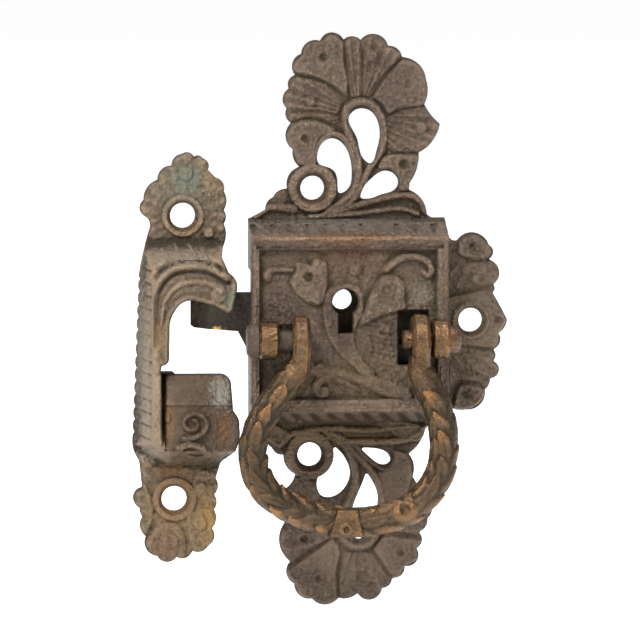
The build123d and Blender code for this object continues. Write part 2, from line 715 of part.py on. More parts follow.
# ---------------------------------------------------------------- export
for piece in (
    face_casting, back_cover, cover_screw_set, ring_pull, left_hinge_pin, right_hinge_screw,
    latch_lever, lever_stud, lever_washer, lever_spring, spring_seat_pin,
    lock_slide, slide_pins, slide_leaf, leaf_rivet, keeper,
):
    export_step(piece.part, f"parts/{piece.part.label}.step")
    print(piece.part.label, round(piece.part.volume, 1), piece.part.bounding_box())
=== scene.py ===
# %% [markdown]
# # Thumb latch in cast bronze
#
# The latch is a small ornamental casting: a flat box with two scalloped finials and a
# side fan, a ring pull hung in two lugs, a tongue on the left and a loose keeper.
# The CAD frame gives every size and every moving part. This script gives the looks:
# relief, wear, patina and light. Lengths inside the relief cells are millimetres,
# because castings like this are measured so; a mesh is scaled to metres when it is made.

import bpy
import numpy as np
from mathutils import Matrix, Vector


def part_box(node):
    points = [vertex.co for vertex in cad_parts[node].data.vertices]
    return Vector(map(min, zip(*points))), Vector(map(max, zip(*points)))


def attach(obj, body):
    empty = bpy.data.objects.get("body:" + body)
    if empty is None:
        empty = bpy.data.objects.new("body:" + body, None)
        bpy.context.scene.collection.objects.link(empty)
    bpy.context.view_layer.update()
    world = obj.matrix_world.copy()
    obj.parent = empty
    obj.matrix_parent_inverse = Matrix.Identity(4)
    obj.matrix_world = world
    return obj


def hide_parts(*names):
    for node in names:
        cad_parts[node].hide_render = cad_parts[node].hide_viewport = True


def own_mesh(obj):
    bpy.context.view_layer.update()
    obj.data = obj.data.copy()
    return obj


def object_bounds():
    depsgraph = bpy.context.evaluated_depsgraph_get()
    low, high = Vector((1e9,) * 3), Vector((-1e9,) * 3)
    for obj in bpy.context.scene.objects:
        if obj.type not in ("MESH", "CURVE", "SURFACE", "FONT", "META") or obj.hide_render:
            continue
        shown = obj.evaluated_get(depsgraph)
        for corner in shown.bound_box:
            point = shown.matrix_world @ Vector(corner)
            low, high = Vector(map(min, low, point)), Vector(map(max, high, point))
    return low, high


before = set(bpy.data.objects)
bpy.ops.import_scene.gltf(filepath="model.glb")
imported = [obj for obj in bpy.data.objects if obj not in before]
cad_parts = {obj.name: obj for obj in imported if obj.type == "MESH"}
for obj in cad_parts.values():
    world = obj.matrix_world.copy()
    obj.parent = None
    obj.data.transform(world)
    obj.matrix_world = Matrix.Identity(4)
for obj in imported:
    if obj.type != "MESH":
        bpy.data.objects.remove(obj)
size_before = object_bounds()
MM = 0.001
print("frame box", size_before)

# %% [markdown]
# ## Camera, floor and light
#
# A long lens keeps the small casting free of perspective. The camera stands a little to
# the left and a little above the middle. The floor is pale and wide. Four soft lamps (key,
# edge, fill and top) and a pale world give the even light of a catalogue studio.

# %% Camera
CAMERA_AZIMUTH, CAMERA_ELEVATION = np.radians(-4.6), np.radians(4.2)
CAMERA_DISTANCE = 1.0
PICTURE_WIDTH = 0.1139
target = Vector((-0.0048, -0.0024, 0.0002))
outward = Vector((
    np.sin(CAMERA_AZIMUTH) * np.cos(CAMERA_ELEVATION),
    -np.cos(CAMERA_AZIMUTH) * np.cos(CAMERA_ELEVATION),
    np.sin(CAMERA_ELEVATION),
))
camera_data = bpy.data.cameras.new("camera")
camera_data.sensor_width = 36.0
camera_data.lens = 36.0 * CAMERA_DISTANCE / PICTURE_WIDTH
camera = bpy.data.objects.new("camera", camera_data)
camera.location = target + outward * CAMERA_DISTANCE
camera.rotation_euler = outward.to_track_quat("Z", "Y").to_euler()
bpy.context.scene.collection.objects.link(camera)
bpy.context.scene.camera = camera
print("camera lens", round(camera_data.lens, 1), "mm")


# %% Floor and lights
def soft_lamp(name, place, size, watts):
    """A square area lamp that looks at the latch."""
    data = bpy.data.lights.new(name, "AREA")
    data.shape, data.size, data.energy = "SQUARE", size, watts
    lamp = bpy.data.objects.new(name, data)
    lamp.location = place
    lamp.rotation_euler = (Vector(place) - target).to_track_quat("Z", "Y").to_euler()
    bpy.context.scene.collection.objects.link(lamp)


soft_lamp("key_lamp", (-0.42, -0.6, 0.9), 0.3, 15.0)
soft_lamp("edge_lamp", (-0.7, -0.55, 0.35), 0.12, 2.5)
soft_lamp("fill_lamp", (0.9, -0.7, 0.3), 0.7, 3.0)
soft_lamp("top_lamp", (0.15, 0.1, 1.1), 0.6, 7.0)
world = bpy.data.worlds.new("studio")
world.use_nodes = True
world.node_tree.nodes["Background"].inputs["Color"].default_value = (1.0, 1.0, 1.0, 1.0)
world.node_tree.nodes["Background"].inputs["Strength"].default_value = 0.4
bpy.context.scene.world = world
bpy.context.scene.view_settings.view_transform = "Standard"

FLOOR_HALF, FLOOR_GAP = 12.0, 0.0008
floor_mesh = bpy.data.meshes.new("floor")
floor_z = size_before[0][2] - FLOOR_GAP
floor_mesh.from_pydata(
    [(sx * FLOOR_HALF, sy * FLOOR_HALF, floor_z) for sx,
     sy in ((-1, -1), (1, -1), (1, 1), (-1, 1))],
    [], [(0, 1, 2, 3)],
)
floor = bpy.data.objects.new("floor", floor_mesh)
bpy.context.scene.collection.objects.link(floor)
paper = bpy.data.materials.new("pale_paper")
paper.use_nodes = True
paper_shader = paper.node_tree.nodes["Principled BSDF"]
paper_shader.inputs["Base Color"].default_value = (0.9, 0.9, 0.9, 1.0)
paper_shader.inputs["Roughness"].default_value = 0.9
paper_shader.inputs["Specular IOR Level"].default_value = 0.1
paper_shader.inputs["Emission Color"].default_value = (1.0, 1.0, 1.0, 1.0)
paper_shader.inputs["Emission Strength"].default_value = 0.62
floor_mesh.materials.append(paper)
print("floor at", round(floor_z, 4))

# %% [markdown]
# ## Grids and outlines
#
# The castings were poured in two-part moulds, so each surface that faces the viewer is a
# height over the flat back: one value of depth for each x and z. That is how they are
# built here too. The outline is read from the CAD solid by slicing it, so the scallops and
# the pierced openings are exactly the CAD's.


# %% Slice a CAD node
def section(node, depth):
    """Where the plane y = -depth cuts a CAD node: segments (n, 4) of x0 z0 x1 z1 in mm."""
    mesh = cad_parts[node].data
    mesh.calc_loop_triangles()
    points = np.empty(len(mesh.vertices) * 3)
    mesh.vertices.foreach_get("co", points)
    matrix = np.array(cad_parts[node].matrix_world)
    points = (points.reshape(-1, 3) @ matrix[:3, :3].T + matrix[:3, 3]) / MM
    corners = np.empty(len(mesh.loop_triangles) * 3, dtype=np.int64)
    mesh.loop_triangles.foreach_get("vertices", corners)
    triangles = points[corners.reshape(-1, 3)]
    above = triangles[:, :, 1] > -depth
    cut = triangles[(above.sum(axis=1) % 3) != 0]
    above = cut[:, :, 1] > -depth
    lone = np.where(above.sum(axis=1) == 1, above.argmax(axis=1), (~above).argmax(axis=1))
    rows = np.arange(len(cut))
    apex, left, right = (cut[rows, (lone + k) % 3] for k in range(3))
    ends = []
    for other in (left, right):
        share = ((-depth - apex[:, 1]) / (other[:, 1] - apex[:, 1]))[:, None]
        ends.append((apex + share * (other - apex))[:, [0, 2]])
    return np.concatenate(ends, axis=1)


# %% Signed distance to an outline
def signed_distance(x, z, segments):
    """Distance in mm from each point to the nearest segment, negative inside the closed outline.

    A point is inside when a ray towards +x crosses the outline an odd number of times.
    """
    px, pz = x.ravel().astype(np.float32), z.ravel().astype(np.float32)
    best = np.full(px.shape, 1e9, dtype=np.float32)
    odd = np.zeros(px.shape, dtype=bool)
    for x0, z0, x1, z1 in segments.astype(np.float32):
        ex, ez = x1 - x0, z1 - z0
        length = ex * ex + ez * ez + 1e-12
        t = np.clip(((px - x0) * ex + (pz - z0) * ez) / length, 0, 1)
        np.minimum(best, (px - x0 - t * ex) ** 2 + (pz - z0 - t * ez) ** 2, out=best)
        if z0 != z1:
            crosses = ((z0 <= pz) != (z1 <= pz)) & (px < x0 + (pz - z0) * ex / (z1 - z0))
            odd ^= crosses
    return (np.sqrt(best) * np.where(odd, -1, 1)).reshape(x.shape)


def ring_segments(points):
    """The closed loop through a list of points, as segments."""
    loop = np.array(points, dtype=float)
    return np.concatenate([loop, np.roll(loop, -1, axis=0)], axis=1)


def smooth_line(points, per_span=6):
    """A Catmull-Rom curve through a few points: the average of two parabolas on each span."""
    p = np.array(points, dtype=float)
    p = np.vstack([2 * p[0] - p[1], p, 2 * p[-1] - p[-2]])
    t = np.linspace(0, 1, per_span, endpoint=False)[:, None]
    spans = []
    for a, b, c, d in zip(p[:-3], p[1:-2], p[2:-1], p[3:]):
        spans.append(0.5 * (2 * b + (c - a) * t + (2 * a - 5 * b + 4 * c - d) * t**2
                            + (3 * b - a - 3 * c + d) * t**3))
    return np.vstack(spans + [p[-2:-1]])


# %% [markdown]
# ## A shell from two heights
#
# Each casting piece is a closed shell: a front surface, a back surface and the wall that
# joins them round the outline and round every opening. Grid points close to the outline
# are pulled onto it, so the edge is smooth although the grid is square.


# %% Build the shell
def lines(low, high, step, extra=()):
    """Grid positions from low to high with about that step, plus exact extra positions."""
    base = np.linspace(low, high, int(round((high - low) / step)) + 1)
    keep = np.ones(len(base), dtype=bool)
    for value in extra:
        keep &= np.abs(base - value) > 0.45 * step
    keep[[0, -1]] = True
    inside = [v for v in extra if low < v < high]
    return np.unique(np.concatenate([base[keep], inside]))


SHARP_ANGLE = 0.6


def mesh_object(name, vertices, faces):
    """A new object from vertices in mm and rows of four corners; -1 ends a triangle's row."""
    mesh = bpy.data.meshes.new(name)
    mesh.vertices.add(len(vertices))
    mesh.vertices.foreach_set("co", (np.asarray(vertices) * MM).astype(np.float32).ravel())
    counts = np.where(faces[:, 3] >= 0, 4, 3)
    starts = np.concatenate([[0], np.cumsum(counts)[:-1]])
    flat = faces[faces >= 0]
    mesh.loops.add(len(flat))
    mesh.loops.foreach_set("vertex_index", flat.astype(np.int32))
    mesh.polygons.add(len(faces))
    mesh.polygons.foreach_set("loop_start", starts.astype(np.int32))
    mesh.polygons.foreach_set("loop_total", counts.astype(np.int32))
    mesh.polygons.foreach_set("use_smooth", np.ones(len(faces), dtype=bool))
    mesh.update(calc_edges=True)
    mesh.validate()
    mesh.set_sharp_from_angle(angle=SHARP_ANGLE)
    piece = bpy.data.objects.new(name, mesh)
    bpy.context.scene.collection.objects.link(piece)
    return piece


def flip(faces):
    """The same faces seen from the other side; a triangle's -1 stays last."""
    turned = faces[:, ::-1].copy()
    short = turned[:, 0] < 0
    turned[short] = np.column_stack([turned[short][:, 1:], np.full(short.sum(), -1)])
    return turned


def corners_of(grid):
    """The four corner values of every cell of a grid, on a last axis."""
    return np.stack([grid[:-1, :-1], grid[1:, :-1], grid[1:, 1:], grid[:-1, 1:]], axis=-1)


def smear(values, weight, reach):
    """Local mean: box averages along both axes, twice, counting only the points with weight."""
    kernel = np.ones(2 * reach + 1)
    total, count = values * weight, weight.astype(float)
    for axis in (0, 1, 0, 1):
        total = np.apply_along_axis(np.convolve, axis, total, kernel, "same")
        count = np.apply_along_axis(np.convolve, axis, count, kernel, "same")
    return total / np.maximum(count, 1e-6)


def mark_ridges(piece, ridge):
    """Stores how proud each vertex stands of its surroundings, from -1 to 1, for wear, dirt and
    painted crevice shade.
    """
    attribute = piece.data.attributes.new("ridge", "FLOAT", "POINT")
    attribute.data.foreach_set("value", np.asarray(ridge, dtype=np.float32))


def shell(name, xs, zs, distance, front, back):
    """A closed shell over a grid, kept where distance is below zero.

    distance, front and back are functions of the arrays x and z; the last two give depths in mm.
    """
    x, z = np.meshgrid(xs, zs, indexing="ij")
    sd = distance(x, z)
    step = float(np.median(np.diff(xs)))
    gx, gz = np.gradient(sd, xs, zs)
    norm = np.sqrt(gx * gx + gz * gz) + 1e-6
    local = np.minimum(np.gradient(xs)[:, None], np.gradient(zs)[None, :])
    near = np.abs(sd) < 0.5 * local
    move = np.where(near, sd, 0)
    x, z = x - move * gx / norm, z - move * gz / norm
    kept = near | (sd < 0)
    inner = np.where(near, 0, sd)
    height, floor = front(x, z, inner), back(x, z)
    ridge = np.clip((height - smear(height, kept, max(1, round(0.9 / step)))) / 0.3, -1, 1)
    quads = corners_of(np.arange(x.size).reshape(x.shape))
    corner_in = corners_of(kept)
    mean = corners_of(sd).sum(axis=-1) / 4
    full = corner_in.all(axis=-1) & (mean < 0.1 * step)
    cells = [quads[full]]
    for missing in range(4):
        rest = [k for k in range(4) if k != missing]
        three = corner_in[..., rest].all(axis=-1) & ~corner_in[..., missing]
        triangle = quads[three][:, rest]
        cells.append(np.column_stack([triangle, np.full(len(triangle), -1)]))
    top = np.vstack(cells)
    used = np.unique(top[top >= 0])
    renumber = np.full(x.size + 1, -1)
    renumber[used] = np.arange(len(used))
    top = renumber[top]
    n = len(used)
    bottom = np.where(top >= 0, top + n, -1)
    # A face edge used by one face only lies on the outline.
    nxt = np.where(top[:, [1, 2, 3, 0]] >= 0, top[:, [1, 2, 3, 0]], top[:, [1, 2, 0, 0]])
    pairs = np.stack([top, nxt], axis=-1).reshape(-1, 2)
    pairs = pairs[(pairs >= 0).all(axis=1)]
    key = np.sort(pairs, axis=1)
    _, first, count = np.unique(key[:, 0] * (n + 1) + key[:, 1], return_index=True,
                                return_counts=True)
    rim = pairs[first[count == 1]]
    wall = np.column_stack([rim[:, 1], rim[:, 0], rim[:, 0] + n, rim[:, 1] + n])
    sides = [np.column_stack([x.ravel()[used], -side.ravel()[used], z.ravel()[used]])
             for side in (height, floor)]
    faces = np.vstack([top, flip(bottom), wall])
    piece = mesh_object(name, np.vstack(sides), faces)
    mark_ridges(piece, np.concatenate([ridge.ravel()[used], np.zeros(n)]))
    print(name, "faces", len(faces))
    return piece


# %% [markdown]
# ## A vocabulary of relief
#
# Victorian pattern makers cut leaves, petals, beads and stems with a few gouges. The same
# few strokes are written here once, each as a height over the plate in millimetres:
# a rib along a curve, a pillow inside an outline, a bead, a pit and a ring.


# %% Ribs, pillows, beads
def along(x, z, points):
    """Distance to a polyline, and how far along it (0 to 1) the nearest place is."""
    line = np.array(points, dtype=float)
    steps = np.hypot(*np.diff(line, axis=0).T)
    run = np.concatenate([[0], np.cumsum(steps)]) / steps.sum()
    best = np.full(x.shape, 1e9)
    where = np.zeros(x.shape)
    for i, (p, q) in enumerate(zip(line[:-1], line[1:])):
        e = q - p
        t = np.clip(((x - p[0]) * e[0] + (z - p[1]) * e[1]) / (e @ e + 1e-12), 0, 1)
        d = np.hypot(x - p[0] - t * e[0], z - p[1] - t * e[1])
        closer = d < best
        best = np.where(closer, d, best)
        where = np.where(closer, run[i] + t * (run[i + 1] - run[i]), where)
    return best, where


def rib(x, z, points, start_width, end_width, height, sharp=0.5):
    """A raised stem: half-round across, its half width going from start to end along the curve."""
    d, t = along(x, z, smooth_line(points))
    half = start_width + (end_width - start_width) * t
    return height * np.clip(1 - (d / half) ** 2, 0, 1) ** sharp


def pillow(x, z, points, height, edge=0.5):
    """A raised area with a rounded shoulder: height x (1 - (1 - inside / edge)^2) near its edge."""
    sd = signed_distance(x, z, ring_segments(smooth_line(list(points) + [points[0]], 4)[:-1]))
    s = np.clip(-sd / edge, 0, 1)
    return height * (1 - (1 - s) ** 2), sd


def bead(x, z, centre, radius, height):
    """A half-round bead."""
    d = np.hypot(x - centre[0], z - centre[1])
    return height * np.sqrt(np.clip(1 - (d / radius) ** 2, 0, 1))


def pit(x, z, centre, radius, depth):
    """A punched dimple, deepest in the middle, to be taken away."""
    d = np.hypot(x - centre[0], z - centre[1])
    return depth * np.clip(1 - (d / radius) ** 2, 0, 1)


def eyelet(x, z, centre, radius, height):
    """A small raised ring with a flat disc in it."""
    d = np.hypot(x - centre[0], z - centre[1])
    ring = np.exp(-(((d - radius) / (0.22 * radius + 0.08)) ** 2))
    return height * ring


def fan_ribs(x, z, centre, count, spread=np.pi):
    """Ridges that radiate from a centre: a cosine of the direction angle, from 0 to 1."""
    angle = np.arctan2(z - centre[1], x - centre[0])
    return 0.5 + 0.5 * np.cos(angle * count * np.pi * 2 / spread)


def hammered(x, z, scale, seed):
    """Gentle cast unevenness: a sum of a few crossed waves, about -1 to 1."""
    local = np.random.default_rng(seed)
    total = np.zeros(x.shape)
    for octave in range(4):
        for _ in range(5):
            direction = local.uniform(0, 2 * np.pi)
            phase = local.uniform(0, 2 * np.pi)
            k = 2 * np.pi / scale * 1.8**octave
            total += np.sin(k * (np.cos(direction) * x + np.sin(direction) * z)
                            + phase) / 1.7**octave
    return total / 6.0


def edge_round(inner, radius):
    """How far a surface falls towards an outline: a quarter circle of that radius."""
    s = np.clip(-inner / radius, 0, 1)
    return radius * (1 - np.sqrt(1 - (1 - s) ** 2))


def screw_boss(x, z, centre, outer, top, sink, base):
    """Depths round a screw hole: a raised collar whose middle dips as a countersink."""
    d = np.hypot(x - centre[0], z - centre[1])
    across = (d - (sink + outer) / 2) / ((outer - sink) / 2 + 0.25)
    collar = base + (top - base) * np.clip(1 - across**4, 0, 1) ** 0.5
    cone = top - 0.25 - np.clip(sink + 0.15 - d, 0, None) * 1.15
    return np.where(d < sink, cone, collar), d


def finish_face(x, z, depth, inner, centre, seed, outer=4.3, top=2.85, sink=2.85, base=2.2):
    """Lay a screw boss on a face, round the face's outline and add the fine cast grain."""
    boss, d = screw_boss(x, z, centre, outer, top, sink, base)
    depth = np.where(d < outer, boss, depth)
    rounded = np.where(d < sink, 0.0, edge_round(inner, 0.5))
    return depth - rounded + 0.035 * hammered(x, z, 1.3, seed)


# %% [markdown]
# ## The top finial
#
# A fan of petals opens from the rim of the large pierced teardrop. Smooth petals with a
# dimple or an eyelet lie over ribbed ones, three of which carry a raised button. Stems run
# down between the openings to the box. The plate is the lowest layer, under every petal.

# %% Petals of the top finial
# Each cut is a little off a round depth, so that no CAD corner lies in its plane.
PLATE_CUT, GUARD_CUT, FACE_CUT = 1.013, 6.813, 8.913
PLATE_DEPTH = 1.95
plate_section = section("face_casting", PLATE_CUT)
TOP_CENTRE = (2.1, 36.6)
TOP_SMOOTH = [
    [(0.1, 39.6), (-2.9, 42.1), (-5.6, 43.3), (-8.8, 44.1), (-9.7, 45.7), (-8.1, 47.4),
     (-7.2, 49.4),
     (-4.7, 49.8), (-2.8, 51.0), (-0.6, 49.6), (-0.4, 46.4), (0.3, 42.8)],
    [(4.5, 39.8), (5.6, 41.7), (7.7, 44.2), (10.1, 46.5), (13.1, 45.3), (14.2, 42.8), (13.8, 38.5),
     (9.5, 37.8), (7.4, 36.8), (6.3, 38.4)],
    [(-9.9, 35.0), (-7.7, 35.9), (-4.7, 35.5), (-1.9, 34.3), (-2.9, 33.4), (-4.7, 32.5),
     (-5.4, 30.3),
     (-5.4, 27.9), (-8.3, 27.7), (-9.5, 30.0), (-10.8, 32.7)],
    [(7.4, 29.8), (12.7, 29.6), (12.4, 27.1), (11.3, 24.5), (10.9, 23.1), (9.3, 23.2), (9.3, 25.4),
     (7.7, 27.0), (5.6, 27.1), (6.1, 28.9)],
]
TOP_RIBBED = [
    [(0.6, 39.8), (-0.3, 46.4), (-0.4, 49.6), (1.2, 50.5), (2.6, 49.8), (2.8, 46.4), (2.6, 40.1)],
    [(2.8, 40.0), (2.9, 46.4), (2.6, 49.8), (5.1, 50.8), (7.2, 48.9), (9.2, 48.1), (9.7, 46.7),
     (7.0, 44.2), (5.4, 41.9), (4.2, 39.8)],
    [(7.0, 36.2), (9.5, 37.4), (13.8, 38.2), (15.0, 36.6), (16.6, 34.4), (15.4, 32.1), (14.9, 30.7),
     (12.9, 30.0), (8.1, 30.2), (6.7, 32.5)],
    [(-0.6, 39.1), (-2.9, 41.6), (-5.6, 42.8), (-9.0, 43.5), (-10.1, 42.1), (-11.1, 39.6),
     (-10.6, 37.6), (-8.3, 37.3), (-4.7, 37.5), (-1.7, 36.8)],
    [(-10.4, 37.4), (-7.4, 37.1), (-4.4, 37.1), (-1.7, 36.2), (-0.1, 33.9), (-2.9, 35.3),
     (-6.5, 36.3), (-9.9, 35.5)],
]
TOP_STEMS = [
    ([(4.2, 27.5), (6.1, 30.3), (6.7, 33.6), (6.1, 36.6), (4.5, 38.5), (2.4, 39.1), (0.3, 38.2),
      (-0.4, 36.0), (0.4, 33.0), (1.7, 30.2), (2.1, 27.1), (1.6, 24.1), (-0.3, 21.4), (-3.4, 19.6)],
      0.65, 0.8),
    ([(4.2, 27.5), (3.1, 25.4), (2.0, 22.9), (-0.1, 20.4), (-4.2, 18.9)], 0.6, 0.7),
    ([(-5.4, 29.6), (-4.7, 32.1), (-2.6, 33.4), (-0.5, 32.6), (0.9, 30.3), (1.7, 27.1)], 0.45, 0.6),
    ([(-3.4, 18.9), (2.4, 20.7), (7.7, 22.1), (11.3, 22.3), (13.2, 21.1), (14.0, 19.3)], 0.7, 0.6),
    ([(-6.4, 18.6), (2.4, 19.2), (9.5, 19.9), (12.7, 19.0)], 0.6, 0.5),
    ([(-9.5, 20.0), (-13.6, 20.2), (-16.2, 18.7)], 0.9, 0.5),
]


def petal_layers(x, z, base, smooth, ribbed, centre, stems, rib_count):
    """The plate with its petals and stems laid on, as a depth in mm."""
    depth = base.copy()
    ribs = fan_ribs(x, z, centre, rib_count)
    for outline in ribbed:
        rise, sd = pillow(x, z, outline, 1.0, 0.6)
        depth = np.maximum(depth, base + rise * (0.18 + 0.32 * ribs))
    for outline in smooth:
        rise, sd = pillow(x, z, outline, 1.0, 0.55)
        lip = np.exp(-(((sd + 0.35) / 0.28) ** 2)) * (sd < 0)
        depth = np.maximum(depth, base + 0.62 * rise + 0.12 * lip)
    for points, start, end in stems:
        depth = np.maximum(depth, base + rib(x, z, points, start, end, 0.85))
    return depth


def top_front(x, z, inner):
    """Depth of the top finial's face."""
    base = PLATE_DEPTH + 0.07 * hammered(x, z, 7.0, 3)
    depth = petal_layers(x, z, base, TOP_SMOOTH, TOP_RIBBED, TOP_CENTRE, TOP_STEMS, 22)
    depth -= pit(x, z, (-4.2, 46.9), 0.95, 0.55) + pit(x, z, (-7.4, 32.5), 0.8, 0.3)
    depth -= pit(x, z, (10.9, 42.3), 0.8, 0.15) + pit(x, z, (10.1, 27.9), 0.9, 0.4)
    for spot, size in (((4.3, 47.3), 1.15), ((-6.5, 39.2), 1.05), ((13.3, 34.4), 1.1)):
        depth += 0.45 * np.clip((size - np.hypot(x - spot[0], z - spot[1])) / 0.3, 0, 1)
    depth += (eyelet(x, z, (10.1, 27.9), 1.2, 0.25) + eyelet(x, z, (10.9, 42.3), 1.0, 0.12)
              + eyelet(x, z, (-7.4, 32.5), 1.1, 0.2))
    return finish_face(x, z, depth, inner, (-6.1, 23.7), 5)


def flat_back(x, z):
    """The back of a plate: flat on the door, with the faint sink of a casting."""
    return 0.04 + 0.03 * hammered(x, z, 9.0, 11)


def plate_distance(x, z):
    """Distance to the CAD plate's outline, drawn in a little where the box will cover it."""
    under_box = (np.abs(x) < 17.6) & (np.abs(z) < 18.4)
    return signed_distance(x, z, plate_section) + 0.15 * under_box


STEP = 0.17


def finial_distance(low, high):
    """The plate's outline cut to a band of z, so that a finial ends inside the box."""
    def distance(x, z):
        return np.maximum(plate_distance(x, z), np.maximum(low - z, z - high))
    return distance


top_finial = shell(
    "top_finial", lines(-17.6, 18.6, STEP), lines(17.4, 51.6, STEP, (17.8,)),
    finial_distance(17.8, 60.0), top_front, flat_back,
)

# %% [markdown]
# ## The bottom finial
#
# The same fan turned over, opening downwards under the ring from the rounded lower end of
# the long pierced teardrop.

# %% Petals of the bottom finial
BOTTOM_CENTRE = (2.0, -38.0)
BOTTOM_SMOOTH = [
    [(-2.4, -38.7), (-5.6, -40.9), (-9.5, -43.5), (-10.6, -45.3), (-9.3, -47.1), (-8.3, -49.2),
     (-6.3, -49.8), (-3.8, -50.8), (-1.7, -49.8), (-1.7, -45.3), (-1.0, -41.2)],
    [(4.4, -41.0), (6.1, -43.3), (8.1, -46.0), (9.5, -45.7), (10.4, -44.2), (12.7, -42.8),
     (12.5, -40.9),
     (13.3, -39.2), (9.5, -38.7), (6.9, -38.4)],
    [(8.1, -22.9), (10.9, -23.8), (11.7, -26.6), (11.3, -30.2), (8.8, -33.0), (6.8, -32.0),
     (6.2, -29.1),
     (5.4, -27.2), (6.9, -26.6), (8.3, -24.8)],
    [(-10.6, -29.8), (-9.0, -27.7), (-6.5, -28.0), (-5.4, -29.5), (-4.7, -31.6), (-8.3, -32.8),
     (-11.1, -32.3)],
    [(-15.8, -18.0), (-14.6, -20.6), (-12.4, -22.6), (-10.6, -22.0), (-9.6, -20.4), (-11.5, -18.9),
     (-13.6, -18.0)],
    [(3.4, -18.2), (7.0, -19.6), (10.6, -21.6), (13.4, -21.4), (14.4, -19.2), (12.0, -18.2),
     (8.0, -17.6)],
]
BOTTOM_RIBBED = [
    [(-4.4, -37.8), (-2.9, -38.7), (-6.1, -40.8), (-9.9, -42.9), (-11.8, -40.0), (-11.8, -38.5),
     (-11.1, -36.8), (-8.3, -36.2)],
    [(-0.4, -41.4), (-1.3, -45.3), (-1.2, -49.8), (0.1, -49.8), (1.9, -49.0), (4.0, -50.1),
     (6.3, -48.1),
     (7.7, -46.4), (5.8, -43.7), (3.8, -41.2)],
    [(7.4, -37.8), (12.9, -38.3), (14.0, -35.9), (15.0, -33.9), (13.8, -33.0), (9.9, -34.1),
     (7.7, -35.9)],
    [(-10.9, -33.0), (-5.0, -32.6), (-2.0, -34.5), (-2.6, -37.5), (-7.0, -35.7), (-10.8, -36.2)],
]
BOTTOM_STEMS = [
    ([(-0.1, -33.4), (-0.9, -35.5), (-1.0, -38.0), (0.0, -39.9), (1.9, -40.5), (4.0, -39.9),
      (5.3, -38.2),
      (6.2, -35.5), (6.4, -32.0), (5.6, -28.7), (3.9, -26.2), (1.4, -23.6), (-0.9, -21.0),
      (-3.8, -19.8)], 0.8, 0.7),
    ([(-0.1, -33.4), (1.2, -30.5), (1.7, -27.5), (1.0, -24.5), (-0.8, -22.0), (-3.3, -20.6)], 0.8,
     0.6),
    ([(-0.3, -21.6), (4.2, -21.6), (9.5, -21.5), (12.0, -20.7), (13.8, -19.1)], 0.8, 0.6),
    ([(-12.0, -22.0), (-9.5, -20.0), (-2.9, -19.2), (4.2, -19.5), (12.2, -18.8)], 0.7, 0.6),
    ([(1.6, -22.3), (3.6, -24.6), (6.4, -26.6), (8.6, -26.4)], 0.5, 0.3),
]


def bottom_front(x, z, inner):
    """Depth of the bottom finial's face."""
    base = PLATE_DEPTH + 0.07 * hammered(x, z, 7.0, 23)
    depth = petal_layers(x, z, base, BOTTOM_SMOOTH, BOTTOM_RIBBED, BOTTOM_CENTRE, BOTTOM_STEMS, 13)
    for spot, size in (((-5.1, -46.0), 0.9), ((-7.6, -39.1), 1.1), ((2.8, -45.8), 1.4),
                       ((9.7, -41.7), 0.95)):
        depth += eyelet(x, z, spot, size, 0.34) - pit(x, z, spot, 0.7 * size, 0.28)
    return finish_face(x, z, depth, inner, (-6.6, -23.9), 25)


bottom_finial = shell(
    "bottom_finial", lines(-17.6, 17.6, STEP), lines(-51.2, -17.4, STEP, (-17.8,)),
    finial_distance(-60.0, -17.8), bottom_front, flat_back,
)

# %% [markdown]
# ## The side fan
#
# Seven petals spread to the right round a plain screw hole, three smooth ones with dimples
# and the rest ribbed.

# %% Petals of the fan
FAN_CENTRE = (16.0, -0.5)
FAN_SMOOTH = [
    [(19.6, 12.0), (20.2, 14.2), (22.8, 15.3), (25.2, 13.8), (25.9, 12.4), (24.8, 10.9),
     (21.6, 11.0)],
    [(17.4, 4.2), (21.0, 4.9), (25.7, 5.4), (27.0, 2.8), (28.6, 0.1), (27.4, -2.3), (26.4, -4.9),
     (21.0, -4.6), (17.4, -3.8)],
    [(19.2, -13.5), (20.3, -11.4), (23.4, -11.6), (24.9, -12.8), (23.6, -15.0), (21.4, -16.0),
     (19.2, -15.6)],
]
FAN_RIBBED = [
    [(17.8, 9.5), (24.5, 10.5), (25.4, 9.3), (27.1, 8.0), (26.2, 6.3), (20.0, 5.4), (17.8, 6.0)],
    [(18.0, -3.9), (21.5, -4.7), (26.2, -5.6), (26.5, -7.0), (27.2, -9.0), (25.6, -10.4),
     (21.0, -8.4), (18.0, -6.4)],
    [(18.0, -7.2), (20.8, -9.4), (25.0, -11.0), (24.0, -11.2), (20.0, -10.8), (18.0, -12.0)],
    [(17.8, 10.4), (19.4, 11.6), (19.4, 14.0), (17.8, 14.4)],
]


def fan_front(x, z, inner):
    """Depth of the fan's face."""
    base = 1.9 + 0.08 * hammered(x, z, 6.0, 33)
    depth = petal_layers(x, z, base, FAN_SMOOTH, FAN_RIBBED, FAN_CENTRE, [], 15)
    depth -= pit(x, z, (22.4, 13.1), 0.8, 0.5) + pit(x, z, (27.1, -0.1), 0.85, 0.45)
    depth -= pit(x, z, (21.4, -13.1), 0.95, 0.5)
    depth += eyelet(x, z, (23.7, 7.6), 1.1, 0.3) + eyelet(x, z, (23.7, -9.1), 1.2, 0.3)
    return finish_face(x, z, depth, inner, (22.2, 0.0), 35, outer=3.4, top=2.75, sink=2.75,
                       base=2.6)


def fan_distance(x, z):
    """The plate's outline to the right of the box."""
    return np.maximum(plate_distance(x, z), 17.0 - x)


side_fan = shell(
    "side_fan", lines(16.6, 29.0, STEP, (17.0,)), lines(-16.6, 16.2, STEP),
    fan_distance, fan_front, flat_back,
)

